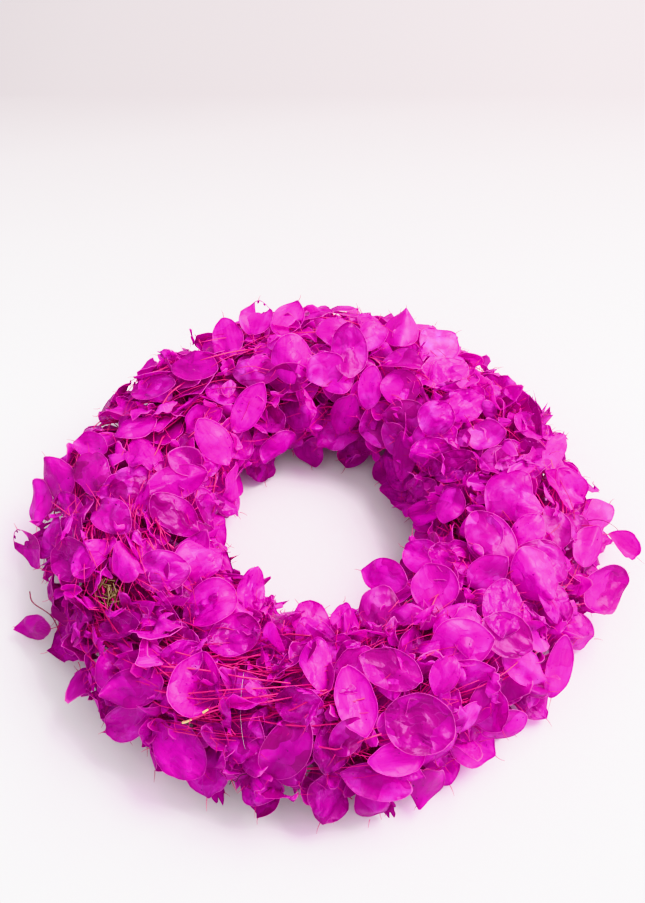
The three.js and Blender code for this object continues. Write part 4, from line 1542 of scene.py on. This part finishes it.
def septa_material():
    """Dyed paper: satin, creased, lit from behind, with dark specks and painted light: shade deep in the
    bunch and inside the rim, highlights on faces, creases and the rim, and sheen on its pale film.
    """
    material, tree, shader = new_material("dyed_septum")
    grain = mark(tree, "grain", "Vector")
    bent = warped(tree, grain)
    folds = stretched(tree, bent, FOLD_STRETCH)
    large, large_number = facets(tree, bent, LARGE_FACES)
    small, small_number = facets(tree, folds, SMALL_FACES)
    colour = septa_colour(tree, grain, folds, large_number, small_number)
    swells = times(tree, crumple(tree, grain, 0.2), 1.5)
    height = plus(tree, times(tree, large, 0.8), times(tree, small, 0.8), swells)
    height = times(tree, height, mark(tree, "crushed"))
    bump = add(tree, "Bump", {"Height": height, "Strength": 1.0, "Distance": 0.001}).outputs[0]
    set_inputs(shader, {
        "Base Color": colour,
        "Roughness": 0.4,
        "Specular IOR Level": 0.9,
        "Specular Tint": (1.0, 0.55, 1.0, 1.0),
        "Normal": bump,
    })
    through = add(tree, "BsdfTranslucent", {"Color": colour, "Normal": bump}).outputs[0]
    both = add(tree, "MixShader", {0: 0.5, 1: shader.outputs[0], 2: through}).outputs[0]
    set_inputs(tree.nodes["Material Output"], {"Surface": tinted_shadow(tree, both)})
    return material


def stems_material():
    """Dyed stems, from darker to brighter by their tint, with dark ones and cream cut ends."""
    material, tree, shader = new_material("dyed_stem")
    tint = mark(tree, "tint")
    layers = (
        (between(tree, tint, 0, 1), srgb(240, 54, 146)),
        (between(tree, tint, 0, -1), srgb(72, 12, 36)),
        (between(tree, tint, 1, 2), srgb(248, 234, 160)),
    )
    colour = layered(tree, srgb(178, 2, 92), layers)
    set_inputs(shader, {"Base Color": colour, "Roughness": 0.5})
    return material


def hay_material():
    material, tree, shader = new_material("dry_hay")
    colour = blend(tree, mark(tree, "tint"), srgb(92, 72, 50), srgb(164, 138, 104))
    set_inputs(shader, {"Base Color": colour, "Roughness": 0.8})
    return material


def thread_material():
    material, _, shader = new_material("clear_thread")
    set_inputs(shader, {"Base Color": srgb(236, 226, 234), "Roughness": 0.25, "Alpha": 0.5})
    return material


# Pieces

def bunch_septa(n, septa, looks, rng):
    """The parts of a bunch's septa: the sound ones kind by kind, each torn one, and the heart."""
    clock = clock_of(n)
    pairs = list(zip(septa, looks))
    parts = []
    for kind, disc in DISCS.items():
        sound = [pair for pair in pairs if pair[0].kind == kind and not pair[0].torn]
        if sound:
            parts.append(septa_part(*zip(*sound), disc, clock))
    for septum, look in pairs:
        if septum.torn:
            kept = spoiled(*septum.torn)
            parts.append(septa_part([septum], [look], DISCS[septum.kind], clock, kept))
    return [*parts, heart_part(n, rng)]


def bunch_stems(n, rng):
    """The stems of a bunch as one part."""
    kinds = (sheaf_strands, surface_strands, ring_strands, gap_strands)
    strands = [found for kind in kinds for found in kind(n, rng)]
    return strands_part(strands, rng, clock_of(n))


def bunch_stalks(n, septa, rng):
    """The parts of a bunch's stalks and of its whiskers."""
    stalks = np.stack([stalk_path(BUNCHES[n], septum, rng) for septum in septa])
    whiskers = np.stack([whisker_path(septum, rng) for septum in septa])
    parts = []
    for paths, ends in ((stalks, STALK_RADII), (whiskers, WHISKER_RADII)):
        radii = np.tile(np.linspace(*ends, paths.shape[1]), (len(paths), 1))
        parts.append(tubes(turned(paths, clock_of(n)), radii, STALK_SIDES, random_tints(rng, paths)))
    return parts


def make_bunch(n, septa):
    """The three pieces of a bunch: its septa, its stems, and the stalks and whiskers."""
    rng = random.Random(SEED + 1000 + n)
    name = f"bunch_{n + 1:02d}"
    looks = [look_of(septum, BUNCHES[n].messy, rng) for septum in septa]
    parts = above_floor(bunch_septa(n, septa, looks, rng))
    make_piece(name + "_septa_fine", parts, "septa", (name + "_septa",))
    make_piece(name + "_stems_fine", above_floor([bunch_stems(n, rng)]), "stems", (name + "_stems",))
    make_piece(name + "_stalks", above_floor(bunch_stalks(n, septa, rng)), "stems")


def make_wreath():
    for n, septa in enumerate(with_fill()):
        make_bunch(n, septa)
    rng = random.Random(SEED)
    make_piece("hay_ring_fine", [hay_part(rng)], "hay", ("hay_ring",))
    make_piece("hay_wisps", [wisps_part(rng), tuft_part(rng)], "hay")
    thread = [thread_part(), loose_part([LOOSE_THREAD])]
    make_piece("binding_thread_fine", thread, "thread", ("binding_thread",))
    make_piece("loose_stems", above_floor([loose_part(LOOSE)]), "stems")


# Surroundings

# The floor and the lamp, in metres and watts, and the strength of the light from all round.
FLOOR_SIZE = 12.0
SOFTBOX_PLACE, SOFTBOX_SIZE, SOFTBOX_POWER = (0.95, 0.5, 1.25), 1.2, 50
WORLD_STRENGTH = 1.02
# The camera, in millimetres, with its tilt in degrees up from straight down.
CAMERA_PLACE, CAMERA_TILT = (1.6, -346.8, 705.0), 30.8
SENSOR_HEIGHT, LENS = 36, 50


def floor_material():
    """Near white, with painted shade behind the wreath, greyish lilac, that fades again further out."""
    material, tree, shader = new_material("pale_table")
    place = add(tree, "TexCoord", {}).outputs["Object"]
    depth = add(tree, "SeparateXYZ", {"Vector": place}).outputs["Y"]
    distance = add(tree, "VectorMath", {0: place}, operation="LENGTH").outputs["Value"]
    # Painted shade: the floor is darker behind the wreath and lighter again further out.
    far = times(tree, between(tree, depth, 0.12, 0.4), between(tree, distance, 1.0, 0.65))
    colour = blend(tree, far, srgb(243, 242, 243), srgb(171, 164, 166))
    set_inputs(shader, {"Base Color": colour, "Roughness": 0.7, "Specular IOR Level": 0.2})
    return material


def make_floor():
    bpy.ops.mesh.primitive_plane_add(size=FLOOR_SIZE, location=(0, 0, 0))
    floor = bpy.context.object
    floor.name = "table"
    floor.data.materials.append(floor_material())


def make_softbox():
    """A broad lamp above the wreath's back right, turned to the wreath."""
    data = bpy.data.lights.new("softbox", "AREA")
    data.shape, data.size, data.energy = "DISK", SOFTBOX_SIZE, SOFTBOX_POWER
    softbox = bpy.data.objects.new("softbox", data)
    bpy.context.scene.collection.objects.link(softbox)
    softbox.location = SOFTBOX_PLACE
    softbox.rotation_euler = (-Vector(SOFTBOX_PLACE)).to_track_quat("-Z", "Y").to_euler()


def make_camera():
    """The photograph's view: from the front and above, straight along +Y."""
    data = bpy.data.cameras.new("camera")
    data.sensor_fit, data.sensor_height, data.lens = "VERTICAL", SENSOR_HEIGHT, LENS
    camera = bpy.data.objects.new("camera", data)
    bpy.context.scene.collection.objects.link(camera)
    camera.location = np.array(CAMERA_PLACE) * MM + CENTRE
    camera.rotation_euler = (math.radians(CAMERA_TILT), 0, 0)
    bpy.context.scene.camera = camera


def make_world():
    """Even white light from all round."""
    world = bpy.data.worlds.new("studio")
    world.use_nodes = True
    set_inputs(world.node_tree.nodes["Background"], {"Color": (1, 1, 1, 1), "Strength": WORLD_STRENGTH})
    bpy.context.scene.world = world


MATERIALS = {
    "septa": septa_material(),
    "stems": stems_material(),
    "hay": hay_material(),
    "thread": thread_material(),
}
make_wreath()
make_floor()
make_softbox()
make_camera()
make_world()
bpy.context.scene.view_settings.view_transform = "Khronos PBR Neutral"
